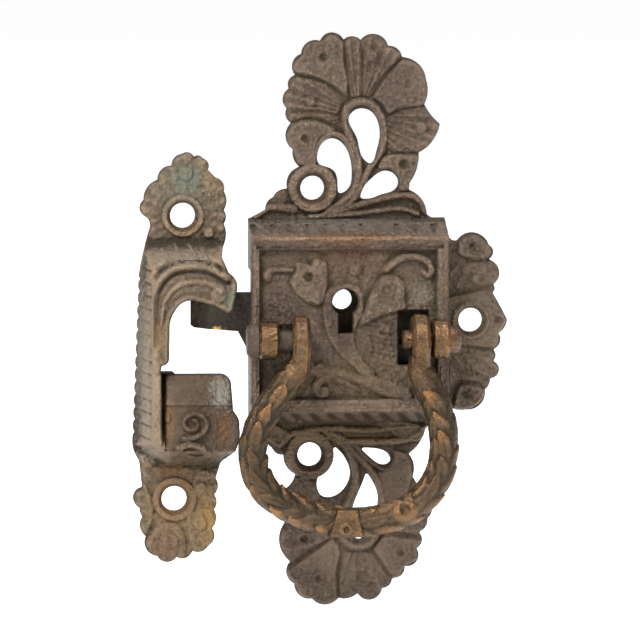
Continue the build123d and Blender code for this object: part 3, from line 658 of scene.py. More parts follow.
# %% [markdown]
# ## The case box
#
# The box stands 10 mm off the door. Its top bevel is cut with a row of small triangles, its
# bottom bevel with a slanting rope, and a flat frame surrounds a sunken field of scrolls and
# leaves round the keyhole. The inside is hollow: the back surface of this shell is the
# cavity's ceiling, so the lever and its spring show through the slots.

# %% Ornaments of the field
CASE_X, CASE_Z = 17.5, 18.3
FACE_Z, FACE_DEPTH, FOOT_DEPTH = 15.5, 10.0, 2.4
CAVITY_DEPTH, POST_DEPTH, NOTCH_DEPTH = 7.8, 1.3, 6.2
FIELD = (-16.2, 15.6, -13.5, 13.3)
FIELD_DEPTH = 9.15
KEY = (-0.8, 3.8)
PIVOT = (-13.2, -2.6)
THREE_LOBES = [(-9.7, 9.6), (-9.6, 11.0), (-8.3, 11.3), (-7.2, 10.6), (-6.4, 11.5), (-4.9, 11.5),
               (-3.9, 10.4),
               (-4.0, 6.9), (-4.6, 4.2), (-5.8, 3.2), (-8.0, 3.9), (-9.9, 5.6), (-10.8, 7.6),
               (-10.1, 9.0)]
RIGHT_PETAL = [(3.6, 5.8), (5.0, 8.0), (6.6, 8.8), (8.6, 8.3), (10.0, 6.7), (9.8, 4.9), (10.0, 3.7),
               (9.7, 2.4),
               (5.4, 1.2), (1.8, -0.4), (2.5, 2.8)]
ESCUTCHEON = [(-0.8, 7.2), (1.4, 6.8), (2.4, 5.4), (2.5, 2.4), (1.2, -0.5), (0.9, -2.9),
              (2.1, -5.9), (4.8, -8.9),
              (1.8, -8.6), (-2.3, -5.3), (-4.4, -1.7), (-5.0, 1.8), (-4.4, 5.4), (-2.9, 6.8)]
LOW_LEAF = [(-8.0, -7.7), (-5.6, -7.5), (-3.5, -8.4), (-4.4, -10.0), (-6.5, -9.3)]
FIELD_STEMS = [
    ([(-10.3, 9.6), (-12.1, 9.7), (-13.8, 9.6), (-14.9, 8.7)], 0.4, 0.75, 0.6),
    ([(6.3, 9.6), (7.7, 10.8), (9.5, 11.7), (11.6, 11.8), (13.4, 11.2), (14.5, 9.6), (13.8, 8.5),
      (12.9, 9.2)], 0.7, 0.6, 0.75),
    ([(0.2, -6.0), (1.9, -8.4), (5.4, -10.4), (9.8, -11.8)], 0.5, 1.0, 0.6),
    ([(-5.6, -7.6), (-3.5, -8.4), (-0.8, -9.0), (2.7, -10.4), (6.3, -12.1), (10.4, -12.9)], 0.9,
     0.9, 0.65),
    ([(-2.6, -9.0), (-4.9, -9.7), (-6.0, -10.8), (-5.6, -12.2), (-4.4, -12.3)], 0.8, 0.8, 0.65),
    ([(-2.4, -10.0), (-0.6, -10.6), (1.6, -11.8)], 0.7, 0.3, 0.5),
    ([(-9.0, -1.0), (-8.6, -4.0), (-7.6, -6.4), (-6.2, -7.8)], 0.5, 0.5, 0.45),
    ([(11.8, -10.4), (13.6, -9.6), (14.6, -7.8)], 0.7, 0.3, 0.5),
]


def box_bevels(x, z):
    """The plain box: a straight rise from the foot at |z| = 18.3 to the face at |z| = 15.5."""
    rise = np.clip((CASE_Z - np.abs(z)) / (CASE_Z - FACE_Z), 0, 1)
    depth = FOOT_DEPTH + (FACE_DEPTH - FOOT_DEPTH) * rise
    on_bevel = (rise > 0.02) & (rise < 0.98)
    # Triangles on the top bevel: pits between a zigzag of raised lines.
    band = np.clip((rise - 0.3) / 0.62, 0, 1)
    saw = np.abs(((x + 0.25 * rise + 0.8) / 3.2) % 1.0 - 0.5) * 2
    triangle = np.clip((saw - band) / 0.8, 0, 1)
    pits = (1.5 * triangle * np.clip(band * 4, 0, 1)
            + 0.25 * hammered(x, rise * 3.0, 2.0, 45) * (rise < 0.95))
    # A slanting rope on the bottom bevel.
    rope = 0.5 + 0.5 * np.cos(2 * np.pi * (x / 3.1 + 0.8 * rise))
    ropes = 1.5 * (1 - rope**0.8) * np.sin(np.pi * rise)
    return depth - np.where(on_bevel, np.where(z > 0, pits, ropes), 0.0)


def box_front(x, z, inner):
    """Depth of the box's face: bevels, frame, then the field with its ornaments."""
    depth = box_bevels(x, z)
    into_field = np.minimum(np.minimum(x - FIELD[0], FIELD[1] - x),
                            np.minimum(z - FIELD[2], FIELD[3] - z))
    field = FACE_DEPTH - (FACE_DEPTH - FIELD_DEPTH) * np.clip(into_field / 0.35, 0, 1)
    field += 0.10 * hammered(x, z, 5.0, 41) * (into_field > 0.35)
    for points, start, end, height in FIELD_STEMS:
        field = np.maximum(field, FIELD_DEPTH + rib(x, z, points, start, end, height))
    for outline, height in ((THREE_LOBES, 0.62), (RIGHT_PETAL, 0.62), (LOW_LEAF, 0.5)):
        rise, sd = pillow(x, z, outline, height, 0.5)
        field = np.maximum(field, np.where(sd < 0, FIELD_DEPTH + rise, 0))
    plate, sd = pillow(x, z, ESCUTCHEON, 0.38, 0.4)
    plate += 0.14 * np.exp(-(((sd + 0.45) / 0.25) ** 2))
    field = np.maximum(field, np.where(sd < 0, FIELD_DEPTH + plate, 0))
    for centre, radius, height in (((-14.7, 8.5), 0.95, 0.7), ((0.9, 9.7), 1.15, 0.7),
                                   ((-4.6, -11.7), 0.9, 0.85)):
        field = np.maximum(field, FIELD_DEPTH + bead(x, z, centre, radius, height))
    field -= pit(x, z, (-7.4, 8.3), 1.05, 0.5)
    field += eyelet(x, z, (-7.4, 8.3), 1.15, 0.12) + eyelet(x, z, (6.5, 6.0), 1.15, 0.4)
    field += eyelet(x, z, (5.9, -1.6), 0.9, 0.3)
    # Veins that fan out over the leaves from the keyhole.
    angle = np.arctan2(z + 3.0, x + 0.8)
    veins = np.cos(angle * 26) * np.clip((np.hypot(x + 0.8, z + 3.0) - 5) / 4, 0, 1)
    field += 0.07 * veins * (into_field > 0.5)
    # Stippling round the small bead, and close-set strokes beside the right slot.
    bead_away = np.hypot(x - 0.9, z - 9.7)
    field += 0.16 * hammered(x, z, 0.9, 47) * ((bead_away > 1.2) & (bead_away < 4.2) & (z > 7.4))
    strokes = (np.clip((x - 2.0) / 1.0, 0, 1) * np.clip((8.6 - x) / 0.6, 0, 1)
               * (z < 0.4) * (z > -8.6))
    field += 0.1 * np.cos(2 * np.pi * (z + 0.22 * x) / 0.95) * strokes
    field += 0.05 * hammered(x, z, 1.8, 49) * (into_field > 0.35)
    to_key, _ = along(x, z, [KEY, (KEY[0], -1.7)])
    field += 0.3 * np.exp(-(((to_key - 2.75) / 0.3) ** 2)) * (z > -0.5)
    depth = np.where(into_field > 0, field, depth)
    # A round trough gives the left arm's eye room to turn.
    trough = -PIVOT[0] - np.sqrt(np.clip(4.85**2 - (z - PIVOT[1]) ** 2, 0, None))
    depth = np.where((x > -12.6) & (x < -7.3), np.minimum(depth, np.maximum(trough, 8.3)), depth)
    frame_line = np.abs(into_field + 0.55)
    wavy = 0.16 * np.exp(-((frame_line / 0.22) ** 2)) * (np.abs(z) < 15.0)
    # The top of the frame slopes in to the field from a bright, slightly wandering edge.
    edge_height = 15.0 + 0.12 * np.sin(0.7 * x) + 0.06 * np.sin(2.3 * x)
    slope = np.clip((edge_height - z) / 1.7, 0, 1) * (z > FIELD[3]) * (np.abs(x) < 16.6)
    wavy = np.where(z > FIELD[3], 0.22 * np.exp(-(((z - edge_height) / 0.22) ** 2)) - 0.5 * slope,
                    wavy)
    return depth + wavy * (into_field < 0) - edge_round(inner, 0.3) + 0.04 * hammered(x, z, 1.2, 43)


def box_back(x, z):
    """Depth of the box's inner surface: the cavity's ceiling, four posts and the tongue's notch."""
    cavity = (np.abs(x) < 16.0) & (np.abs(z) < 14.6)
    depth = np.where(cavity, CAVITY_DEPTH, 0.0)
    post = np.hypot(np.abs(x) - 14.3, np.abs(z) - 12.9) < 1.8
    depth = np.where(post, POST_DEPTH, depth)
    return np.where((x < -15.9) & (z > -5.6) & (z < 9.4), NOTCH_DEPTH, depth)


face_section = section("face_casting", FACE_CUT)
middle_x, middle_z = face_section[:, [0, 2]].mean(axis=1), face_section[:, [1, 3]].mean(axis=1)
pierced = face_section[(middle_x > -5.0) & (middle_x < 16.6) & (np.abs(middle_z) < 14.9)]


def box_distance(x, z):
    """The box's footprint less the keyhole and the right arm's slot."""
    return np.maximum(np.maximum(np.abs(x) - CASE_X, np.abs(z) - CASE_Z),
                      -signed_distance(x, z, pierced))


BOX_STEP = 0.2
box_rows = np.unique(np.round(np.concatenate([
    np.linspace(-CASE_Z, -FACE_Z, 24), lines(-FACE_Z, FACE_Z, BOX_STEP, FIELD[2:]),
    np.linspace(FACE_Z, CASE_Z, 24),
]), 5))
case_box = shell("case_box", lines(-CASE_X, CASE_X, BOX_STEP, FIELD[:2]), box_rows, box_distance,
                 box_front, box_back)

# %% [markdown]
# ## Turned and extruded pieces
#
# The lugs and the ring's arms are flat forgings with a round eye. Their outline is the hull
# of a few circles: for each direction, the point of the circle that reaches furthest that
# way. Shrinking every circle by the same amount gives the chamfer.


# %% Loft rings of points
def loft(name, rings, ridge, close_rings=False):
    """Quads between closed rings, (m, n, 3) in mm; the ends meet, or a fan closes each."""
    m, n = rings.shape[:2]
    index = np.arange(m * n).reshape(m, n)
    ahead = np.roll(index, -1, axis=1)
    last = m if close_rings else m - 1
    nxt = np.roll(index, -1, axis=0)
    after = np.roll(ahead, -1, axis=0)
    faces = np.stack([index, ahead, after, nxt], axis=-1)[:last].reshape(-1, 4)
    points = rings.reshape(-1, 3)
    if not close_rings:
        tips = np.stack([rings[0].mean(axis=0), rings[-1].mean(axis=0)])
        points = np.vstack([points, tips])
        start = np.column_stack([ahead[0], index[0], np.full(n, m * n), np.full(n, -1)])
        end = np.column_stack([index[-1], ahead[-1], np.full(n, m * n + 1), np.full(n, -1)])
        faces = np.vstack([faces, start, end])
        ridge = np.concatenate([ridge.ravel(), ridge[0, :1], ridge[-1, :1]])
    # Turn the surface round if its volume, the sum of a . (b x c) / 6, comes out negative.
    triangles = np.vstack([faces[:, :3], faces[faces[:, 3] >= 0][:, [0, 2, 3]]])
    a, b, c = (points[triangles[:, k]] for k in range(3))
    volume = np.einsum("ij,ij->i", a, np.cross(b, c)).sum() / 6
    if volume < 0:
        faces = flip(faces)
    piece = mesh_object(name, points, faces)
    mark_ridges(piece, ridge.ravel())
    print(name, "faces", len(faces), "volume", round(abs(volume), 1), "mm3")
    return piece


def hull_outline(circles, count):
    """The hull of circles (a, b, radius): the furthest point for each of count directions."""
    angle = np.linspace(0, 2 * np.pi, count, endpoint=False)
    u = np.column_stack([np.cos(angle), np.sin(angle)])
    c = np.array(circles)
    reach = u @ c[:, :2].T + c[:, 2]
    pick = c[reach.argmax(axis=1)]
    return pick[:, :2] + pick[:, 2:] * u


def eye_piece(name, circles, hole, x_low, x_high, chamfer, dents, seed):
    """A flat forging with a hole: an outline in y and z carried along x and chamfered."""
    count = 120
    eye = (*circles[0][:2], hole)
    stations = [(x_low + 0.5, 0, eye), (x_low + 0.12, 0, eye), (x_low, 0.12, eye)]
    stations += [(x_low + 0.02, k, None) for k in (2.2 * chamfer, 1.6 * chamfer, chamfer)]
    stations += [(x_low + k * chamfer, (1 - k) * chamfer, None) for k in (0.12, 0.5, 0.88, 1.0)]
    plain = np.linspace(x_low + 1.25 * chamfer, x_high - 1.25 * chamfer, 9)
    stations += [(x, 0.0, None) for x in plain]
    stations += [(x_high - k * chamfer, (1 - k) * chamfer, None) for k in (1.0, 0.88, 0.5, 0.12)]
    stations += [(x_high - 0.02, k, None) for k in (chamfer, 1.6 * chamfer, 2.2 * chamfer)]
    stations += [(x_high, 0.12, eye), (x_high - 0.12, 0, eye), (x_high - 0.5, 0, eye)]
    rings, ridges = [], []
    for x, inset, hole_circle in stations:
        if hole_circle:
            ring = hull_outline([(hole_circle[0], hole_circle[1], hole_circle[2] + inset)], count)
            ridges.append(np.full(count, 0.0))
        else:
            ring = hull_outline([(a, b, max(r - inset, 0.02)) for a, b, r in circles], count)
            rim = min(x - x_low, x_high - x) < 1.2 * chamfer
            edge = 0.85 if inset in (0.0, chamfer) and rim else 0.25
            ridges.append(np.full(count, edge))
        rings.append(np.column_stack([np.full(count, x), ring]))
    rings = np.array(rings)
    solid = np.array([s[2] is None for s in stations])[:, None]
    wave = dents * hammered(rings[..., 0] + 0.7 * rings[..., 1], rings[..., 2], 3.0, seed) * solid
    rings[..., 1] += wave
    rings[..., 2] += 0.6 * wave
    return loft(name, rings, np.array(ridges), close_rings=True)


# %% Lugs
EYE_HOLE = 1.83
LUG = [(*PIVOT, 3.4), (-9.0, 0.0, 0.6), (-9.0, -5.2, 0.6)]
left_lug = eye_piece("left_lug", LUG, EYE_HOLE, -16.6, -12.9, 0.55, 0.05, 51)
right_lug = eye_piece("right_lug", LUG, EYE_HOLE, 14.0, 17.2, 0.5, 0.05, 52)

# %% [markdown]
# ## The ring pull
#
# A round bar bent into a ring and modelled as a laurel wreath. Six rows of leaves lie along
# the bar like tiles, each row out of step with its neighbours. A leaf rises towards its tip,
# so the next one comes out from under it. The pattern maker cut each leaf by hand, so their
# lengths, widths and heights wander a little; a sine of the leaf's number does that here.

# %% The wreath
RING_POINTS = [(-9.1, -4.4), (-9.5, -7.2), (-12.1, -10.8), (-15.7, -16.0), (-17.6, -21.6),
               (-16.7, -27.0),
               (-12.9, -31.2), (-6.2, -34.0), (0.4, -34.8), (6.6, -33.9), (11.7, -31.4),
               (15.2, -26.8),
               (16.3, -21.0), (15.2, -14.8), (12.8, -9.6), (12.0, -7.3), (12.0, -4.4)]
ring_line = smooth_line(RING_POINTS, 40)
steps = np.hypot(*np.diff(ring_line, axis=0).T)
run = np.concatenate([[0], np.cumsum(steps)])
LEAF_PITCH = 4.1
LEAF_ROWS = 6
stations = int(run[-1] / (0.17))
s = np.linspace(0, run[-1], stations)
centre = np.column_stack([np.interp(s, run, ring_line[:, 0]), np.interp(s, run, ring_line[:, 1])])
tangent = np.gradient(centre, s, axis=0)
tangent /= np.hypot(*tangent.T)[:, None]
normal = np.column_stack([tangent[:, 1], -tangent[:, 0]])


def leaf_height(along_bar, angle, side):
    """Laurel leaves on the bar: rows of rounded wedges, each rising from its base to its tip."""
    height = np.zeros(along_bar.shape)
    for row in range(LEAF_ROWS):
        middle_angle = (row + 0.5) * 2 * np.pi / LEAF_ROWS
        place = (along_bar / LEAF_PITCH + (0.0, 0.42, 0.78)[row % 3]
                 + 0.12 * np.sin(along_bar * 0.9 + 2.1 * row))
        for overlap in (0, 1):
            number = np.floor(place) - overlap
            chance = 0.5 + 0.5 * np.sin(number * 12.9898 + row * 78.233 + 3.1 * side)
            u = place - number
            lean = (0.34 if row % 2 else -0.34) * side + 0.5 * (chance - 0.5)
            off = (angle - middle_angle - lean * (u - 0.5) + np.pi) % (2 * np.pi) - np.pi
            across = off * 2.5
            swell = np.sin(np.pi * np.clip(u / 1.34, 0, 1) ** 0.85) ** 0.8
            width = (1.15 + 0.4 * chance) * swell + 1e-3
            inside = np.clip(1 - (across / width) ** 2, 0, 1)
            wedge = (0.1 + (0.2 + 0.28 * chance) * u) * np.sqrt(inside) * (u < 1.34)
            wedge -= 0.12 * np.exp(-((across / 0.2) ** 2)) * (inside > 0.05)
            height = np.maximum(height, wedge)
    return height


around = np.linspace(0, 2 * np.pi, 96, endpoint=False)
half = run[-1] * 0.5
S, A = np.meshgrid(s, around, indexing="ij")
to_middle = np.abs(S - half)
relief = leaf_height(to_middle + 40.0 * LEAF_PITCH, A, np.sign(S - half))
from_end = np.minimum(S, run[-1] - S)
body = 1.6 + 0.78 * np.clip((from_end - 0.6) / 3.6, 0, 1) ** 0.7
fade = np.clip((from_end - 4.2) / 2.6, 0, 1)
EYE_LEAF = np.array((9.2, -15.6, -32.4))
radius = body + relief * fade + 0.07 * hammered(S, 2.4 * A, 3.0, 61)


def on_bar(radius):
    """Points at a radius round the bar: centre + radius (cos A normal - sin A forward)."""
    flat = np.cos(A)[..., None] * normal[:, None, :]
    return np.stack([
        centre[:, None, 0] + radius * flat[..., 0],
        PIVOT[0] - radius * np.sin(A),
        centre[:, None, 1] + radius * flat[..., 1],
    ], axis=-1)


to_eye = np.linalg.norm(on_bar(radius) - EYE_LEAF, axis=-1)
leaf_pad = np.clip(1 - (to_eye / 2.6) ** 2, 0, 1)
radius = np.maximum(radius,
                    body + 0.6 * np.sqrt(leaf_pad)) - 0.75 * np.clip(1 - (to_eye / 1.05) ** 2, 0, 1)
wreath_ridge = np.clip((radius - body - 0.3) * 4.5, -0.85, 1) * fade + (1 - fade) * 0.3
ring_wreath = loft("ring_wreath", on_bar(radius), wreath_ridge)

# %% Arms, finger and clasp
RIGHT_ARM_X = (10.4, 13.65)
ARM = [(*PIVOT, 4.5), (-13.2, -6.2, 2.6)]
left_arm = eye_piece("left_arm", ARM, EYE_HOLE, -10.7, -7.5, 0.7, 0.06, 53)
right_arm = eye_piece("right_arm", ARM, EYE_HOLE, *RIGHT_ARM_X, 0.7, 0.06, 54)

FINGER_X = sum(RIGHT_ARM_X) / 2
corner = np.linspace(0, 2 * np.pi, 32, endpoint=False)
rounded = np.column_stack([np.sign(np.cos(corner)) * np.abs(np.cos(corner)) ** 0.4 * 1.4,
                           np.sign(np.sin(corner)) * np.abs(np.sin(corner)) ** 0.4 * 1.0])
finger_rings = [
    np.column_stack([FINGER_X + scale * rounded[:, 0], np.full(32, y),
                     PIVOT[1] + scale * rounded[:, 1]])
    for y, scale in ((-9.6, 1.0), (-8.0, 1.0), (-6.0, 1.0), (-4.2, 1.0), (-3.6, 0.96), (-3.4, 0.8))
]
ring_finger = loft("ring_finger", np.array(finger_rings), np.zeros((6, 32)))

CLASP = [(-2.9, -32.3), (0.9, -32.3), (2.0, -37.3), (-4.3, -37.3)]


def clasp_distance(x, z):
    """Distance to the clasp's outline."""
    return signed_distance(x, z, ring_segments(CLASP))


def clasp_front(x, z, inner):
    """Depth of the clasp: a low cushion with a ring dot."""
    depth = 16.15 + 0.1 * hammered(x, z, 3.5, 71) + eyelet(x, z, (-1.2, -35.8), 0.75, 0.3)
    return depth - pit(x, z, (-1.2, -35.8), 0.5, 0.2) - edge_round(inner, 0.6)


def clasp_back(x, z):
    """The clasp's back, inside the bar."""
    return 12.0 + 0 * x


ring_clasp = shell("ring_clasp", lines(-4.5, 2.2, 0.15), lines(-37.5, -32.1, 0.15), clasp_distance,
                   clasp_front, clasp_back)

# %% [markdown]
# ## The spring under the lever
#
# A coil of drawn wire lifts the lever's right end. A coil is one circle carried along a
# helix. A little over half a turn at each end lies nearly flat, as on a ground spring. It
# shortens when the lever turns.

# %% Coil spring
spring_low, spring_high = (np.array(c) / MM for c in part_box("lever_spring"))
WIRE = 0.2
TURNS = 5
coil_radius = (spring_high[0] - spring_low[0]) / 2 - WIRE
coil_middle = (spring_low + spring_high) / 2
t = np.linspace(0, 1, 110 * TURNS)
turn = 2 * np.pi * TURNS * t
climb = np.interp(t, [0, 0.12, 0.88, 1], [0, 0.05, 0.95, 1])
helix = np.column_stack([
    coil_middle[0] + coil_radius * np.cos(turn), coil_middle[1] + coil_radius * np.sin(turn),
    spring_low[2] + WIRE + (spring_high[2] - spring_low[2] - 2 * WIRE) * climb,
])
out_from_axis = np.column_stack([np.cos(turn), np.sin(turn), 0 * turn])
round_wire = np.linspace(0, 2 * np.pi, 12, endpoint=False)
coil = helix[:, None, :] + WIRE * (
    np.cos(round_wire)[None, :, None] * out_from_axis[:, None, :]
    + np.sin(round_wire)[None, :, None] * np.array((0, 0, 1.0)))
lever_coil = loft("lever_coil", coil, np.zeros(coil.shape[:2]))
print("coil height", round(spring_high[2] - spring_low[2], 2), "mm")

# %% [markdown]
# ## The keeper
#
# The keeper is a narrow plate with two scalloped ends. Between them stands a thick guard: a
# ribbed bevel on the left, a hook with parallel mouldings over the mouth that the tongue
# drops into, and a block whose top is a plain ramp. The block's face has a scroll.

# %% Keeper surfaces
KEEPER_DEPTH, GUARD_DEPTH = 2.4, 9.0
keeper_foot = section("keeper", PLATE_CUT)
keeper_guard = section("keeper", GUARD_CUT)
HOLES = ((-29.2, 18.9), (-30.8, -31.6))
HOOK_RIM = [(-35.0, -3.0), (-35.1, 2.4), (-34.6, 6.0), (-32.9, 8.7), (-30.6, 10.0), (-27.5, 10.3),
            (-24.5, 9.8), (-21.8, 8.2)]
HOOK_INNER = [(-33.4, 0.0), (-32.8, 4.0), (-30.6, 6.8), (-27.6, 7.6), (-24.6, 7.2), (-22.6, 6.0)]
SLANTS = [[(-33.1, 13.1), (-31.6, 11.0)], [(-30.7, 13.8), (-29.7, 11.3)],
          [(-28.2, 13.8), (-27.0, 11.7)], [(-26.1, 13.1), (-25.0, 11.0)]]
SCROLL = [(-29.5, -20.3), (-27.5, -20.0), (-26.0, -19.1), (-25.3, -17.6), (-26.2, -16.2),
          (-27.8, -15.8), (-29.2, -16.6),
          (-29.4, -17.8), (-28.4, -18.7), (-27.2, -18.4), (-27.0, -17.4), (-27.8, -16.9)]
LOWER_CURL = [(-30.4, -21.9), (-28.4, -21.3), (-26.2, -21.9), (-25.0, -23.2), (-26.6, -24.0),
              (-28.4, -23.6)]
LOWER_PETALS = [
    [(-37.0, -27.6), (-35.4, -29.6), (-34.4, -32.8), (-34.9, -36.0), (-36.2, -38.6), (-37.4, -35.2),
     (-38.0, -31.4)],
    [(-33.8, -36.4), (-31.8, -35.6), (-29.6, -36.6), (-28.6, -39.6), (-29.4, -42.6), (-32.4, -43.6),
     (-34.8, -41.8), (-35.8, -38.8)],
    [(-28.8, -34.6), (-26.4, -33.2), (-24.2, -33.6), (-23.2, -36.6), (-23.8, -39.4), (-26.4, -41.6),
     (-28.2, -39.4)],
    [(-27.6, -31.0), (-25.6, -31.8), (-23.4, -32.2), (-22.8, -29.6), (-23.6, -26.8), (-26.2, -26.4),
     (-27.6, -28.2)],
]


def keeper_distance(x, z):
    """The plate's outline joined with the guard's, nicked at each groove of the left bevel."""
    away = np.minimum(signed_distance(x, z, keeper_foot), signed_distance(x, z, keeper_guard))
    turn = ((z + 0.3 * x) / 2.3) % 1.0
    nick = 0.28 * np.exp(-(((turn - 0.5) / 0.2) ** 2)) * (x < -35.5) * (z < 8.0) * (z > -21.0)
    return away + nick


def keeper_levels(x, z):
    """The keeper's plain levels: ends at 2.4, sloping shoulders, the guard at 9 and its bevels."""
    climb = np.clip((14.7 - z) / 3.9, 0, 1)
    upper = KEEPER_DEPTH + 6.6 * climb**2 * (3 - 2 * climb)
    # The lower shoulder runs level to the left as far as x = -32, then climbs.
    below = z - 0.62 * np.clip(-32.0 - x, 0, None)
    lower = np.interp(below, [-25.6, -22.5], [KEEPER_DEPTH, GUARD_DEPTH])
    depth = np.minimum(upper, lower)
    bevel = GUARD_DEPTH + (x + 34.9) * (5.0 / 2.4)
    turn = ((z + 0.3 * x) / 2.3) % 1.0
    grooves = np.exp(-(((turn - 0.5) / 0.09) ** 2)) - 0.3 * np.exp(-(((turn - 0.72) / 0.1) ** 2))
    bevel = bevel - 0.4 * grooves * (x < -35.0) - 0.3 * np.exp(-(((x + 35.2) / 0.2) ** 2))
    depth = np.where(x < -34.9, np.minimum(depth, np.maximum(bevel, 2.35)), depth)
    ramp = np.interp(z, [-14.2, -8.9, -8.0], [GUARD_DEPTH, 7.2, 7.2])
    return np.where((x > -33.4) & (z < -7.9) & (z > -14.2), np.minimum(depth, ramp), depth)


def keeper_front(x, z, inner):
    """Depth of the keeper's face."""
    depth = keeper_levels(x, z) + 0.09 * hammered(x, z, 5.0, 81)
    guard = (z < 11.3) & (z > -22.5) & (x > -34.9)
    hook = guard & (z > -6.5)
    from_edge = -inner
    mould = (0.2 * np.exp(-(((from_edge - 0.5) / 0.32) ** 2))
             - 0.15 * np.exp(-(((from_edge - 1.25) / 0.35) ** 2)))
    depth += np.where(hook & (x > -33.9), mould, 0)
    depth += np.where(guard, rib(x, z, HOOK_RIM, 0.5, 0.5, 0.45), 0)
    away, _ = along(x, z, smooth_line(HOOK_RIM))
    depth -= np.where(guard, 0.35 * np.exp(-(((away - 0.95) / 0.4) ** 2)), 0)
    depth += np.where(guard, rib(x, z, HOOK_INNER, 0.3, 0.7, 0.4), 0)
    # A deep gap parts the block from the frame on its left, and the block is bowed like a barrel.
    gap = np.exp(-(((x + 33.0) / 0.3) ** 2)) * (z < -9.0) * np.clip((z + 22.0) / 4.0, 0, 1)
    depth -= 2.6 * gap
    bow = np.clip((x + 26.5) / 6.6, -1, 1) ** 2
    depth -= np.where((x > -32.8) & (z < -8.0) & (z > -22.5), 1.0 * bow, 0)
    depth += bead(x, z, (-23.4, 5.1), 1.5, 0.45)
    for points in SLANTS:
        depth += rib(x, z, points, 0.3, 0.3, 0.7)
    face = (z < -14.4) & (z > -22.3) & (x > -33.4)
    depth -= np.where(face, 0.3, 0)
    depth += np.where(face, rib(x, z, SCROLL, 0.6, 0.4, 0.75), 0)
    depth += rib(x, z, LOWER_CURL, 0.65, 0.5, 0.9)
    for outline in LOWER_PETALS:
        rise, sd = pillow(x, z, outline, 0.4, 0.5)
        depth += np.where(sd < 0, rise, 0)
    square = np.maximum(np.abs(x + 32.3) - 0.6, np.abs(z + 16.5) - 0.9)
    depth += 0.45 * np.clip(-square / 0.2, 0, 1)
    # Folded ribs on both scalloped ends, and their little discs.
    ends = (z > 14.4) | (z < -25.8)
    hub = np.where(z > 0, 18.9, -31.6)
    hub_x = np.where(z > 0, -29.2, -30.8)
    angle = np.arctan2(z - hub, x - hub_x)
    far = np.hypot(x - hub_x, z - hub)
    folds = 0.09 * np.cos(angle * 21) + 0.14 * hammered(x, z, 2.4, 89)
    depth += np.where(ends, folds * np.clip((far - 3.4) / 3, 0, 1), 0)
    shoulder = (z < -22.3) & (z > -26.0)
    depth += np.where(shoulder, 0.32 * hammered(x, z, 2.6, 87), 0)
    for centre, radius in (((-28.6, 26.3), 1.25), ((-26.1, -29.5), 1.0), ((-26.3, -35.9), 1.3),
                           ((-31.6, -39.1), 1.4), ((-24.6, 15.8), 0.9)):
        depth += bead(x, z, centre, radius, 0.45) + eyelet(x, z, centre, 0.8 * radius, 0.2)
    for centre, outer in zip(HOLES, (3.7, 3.9)):
        boss, d = screw_boss(x, z, centre, outer, 2.85, 2.8, 2.3)
        depth = np.where(d < outer, boss, depth)
        inner = np.where(d < 2.8, -9.0, inner)
    return depth - edge_round(inner, 0.55) + 0.07 * hammered(x, z, 1.2, 83)


def keeper_back(x, z):
    """The keeper's back: flat, with the pockets behind the hook and behind the ramp block."""
    in_plate = signed_distance(x, z, keeper_foot) < 0.02
    pocket = np.where(z > -4, 6.4, 5.8)
    return np.where(in_plate, 0.04 + 0.03 * hammered(x, z, 9.0, 85), pocket)


keeper_body = shell(
    "keeper_body", lines(-38.2, -19.4, STEP * 0.9), lines(-44.6, 31.0, STEP * 0.9),
    keeper_distance, keeper_front, keeper_back,
)

# %% [markdown]
# ## Finishes
#
# Old cast bronze is brown where air and hands have darkened it, and grey-gold on the high places;
# the hollows are nearly black, partly patina and partly painted crevice shade. A shader group
# makes the cast grain, a second one turns the stored ridge value into wear, dirt and painted
# crevice shade, and a third puts a soft patch at one place.


# %% Node helpers
def add(tree, kind, inputs=(), **settings):
    """A node with its settings; an input is a value, or a socket to link."""
    made = tree.nodes.new(kind)
    for key, value in settings.items():
        setattr(made, key, value)
    for key, value in dict(inputs).items():
        if isinstance(value, bpy.types.NodeSocket):
            tree.links.new(value, made.inputs[key])
        else:
            made.inputs[key].default_value = value
    return made


def math_node(tree, operation, a, b=0.0, clamp=False):
    """One arithmetic step on values that change over the surface."""
    return add(tree, "ShaderNodeMath", {0: a, 1: b}, operation=operation,
               use_clamp=clamp).outputs[0]


def from_level(tree, value, level, gain, clamp=False):
    """The value measured from a level and amplified: (value - level) x gain."""
    return math_node(tree, "MULTIPLY", math_node(tree, "SUBTRACT", value, level), gain, clamp)


def blend_colours(tree, share, a, b):
    """A colour between a and b."""
    return add(tree, "ShaderNodeMix", {0: share, 6: a, 7: b}, data_type="RGBA").outputs[2]


def new_group(name, inputs, outputs):
    """An empty shader group with named sockets."""
    tree = bpy.data.node_groups.new(name, "ShaderNodeTree")
    for socket, kind in inputs:
        tree.interface.new_socket(socket, in_out="INPUT", socket_type=kind)
    for socket in outputs:
        tree.interface.new_socket(socket, in_out="OUTPUT", socket_type="NodeSocketFloat")
    return tree, tree.nodes.new("NodeGroupInput").outputs, tree.nodes.new("NodeGroupOutput").inputs


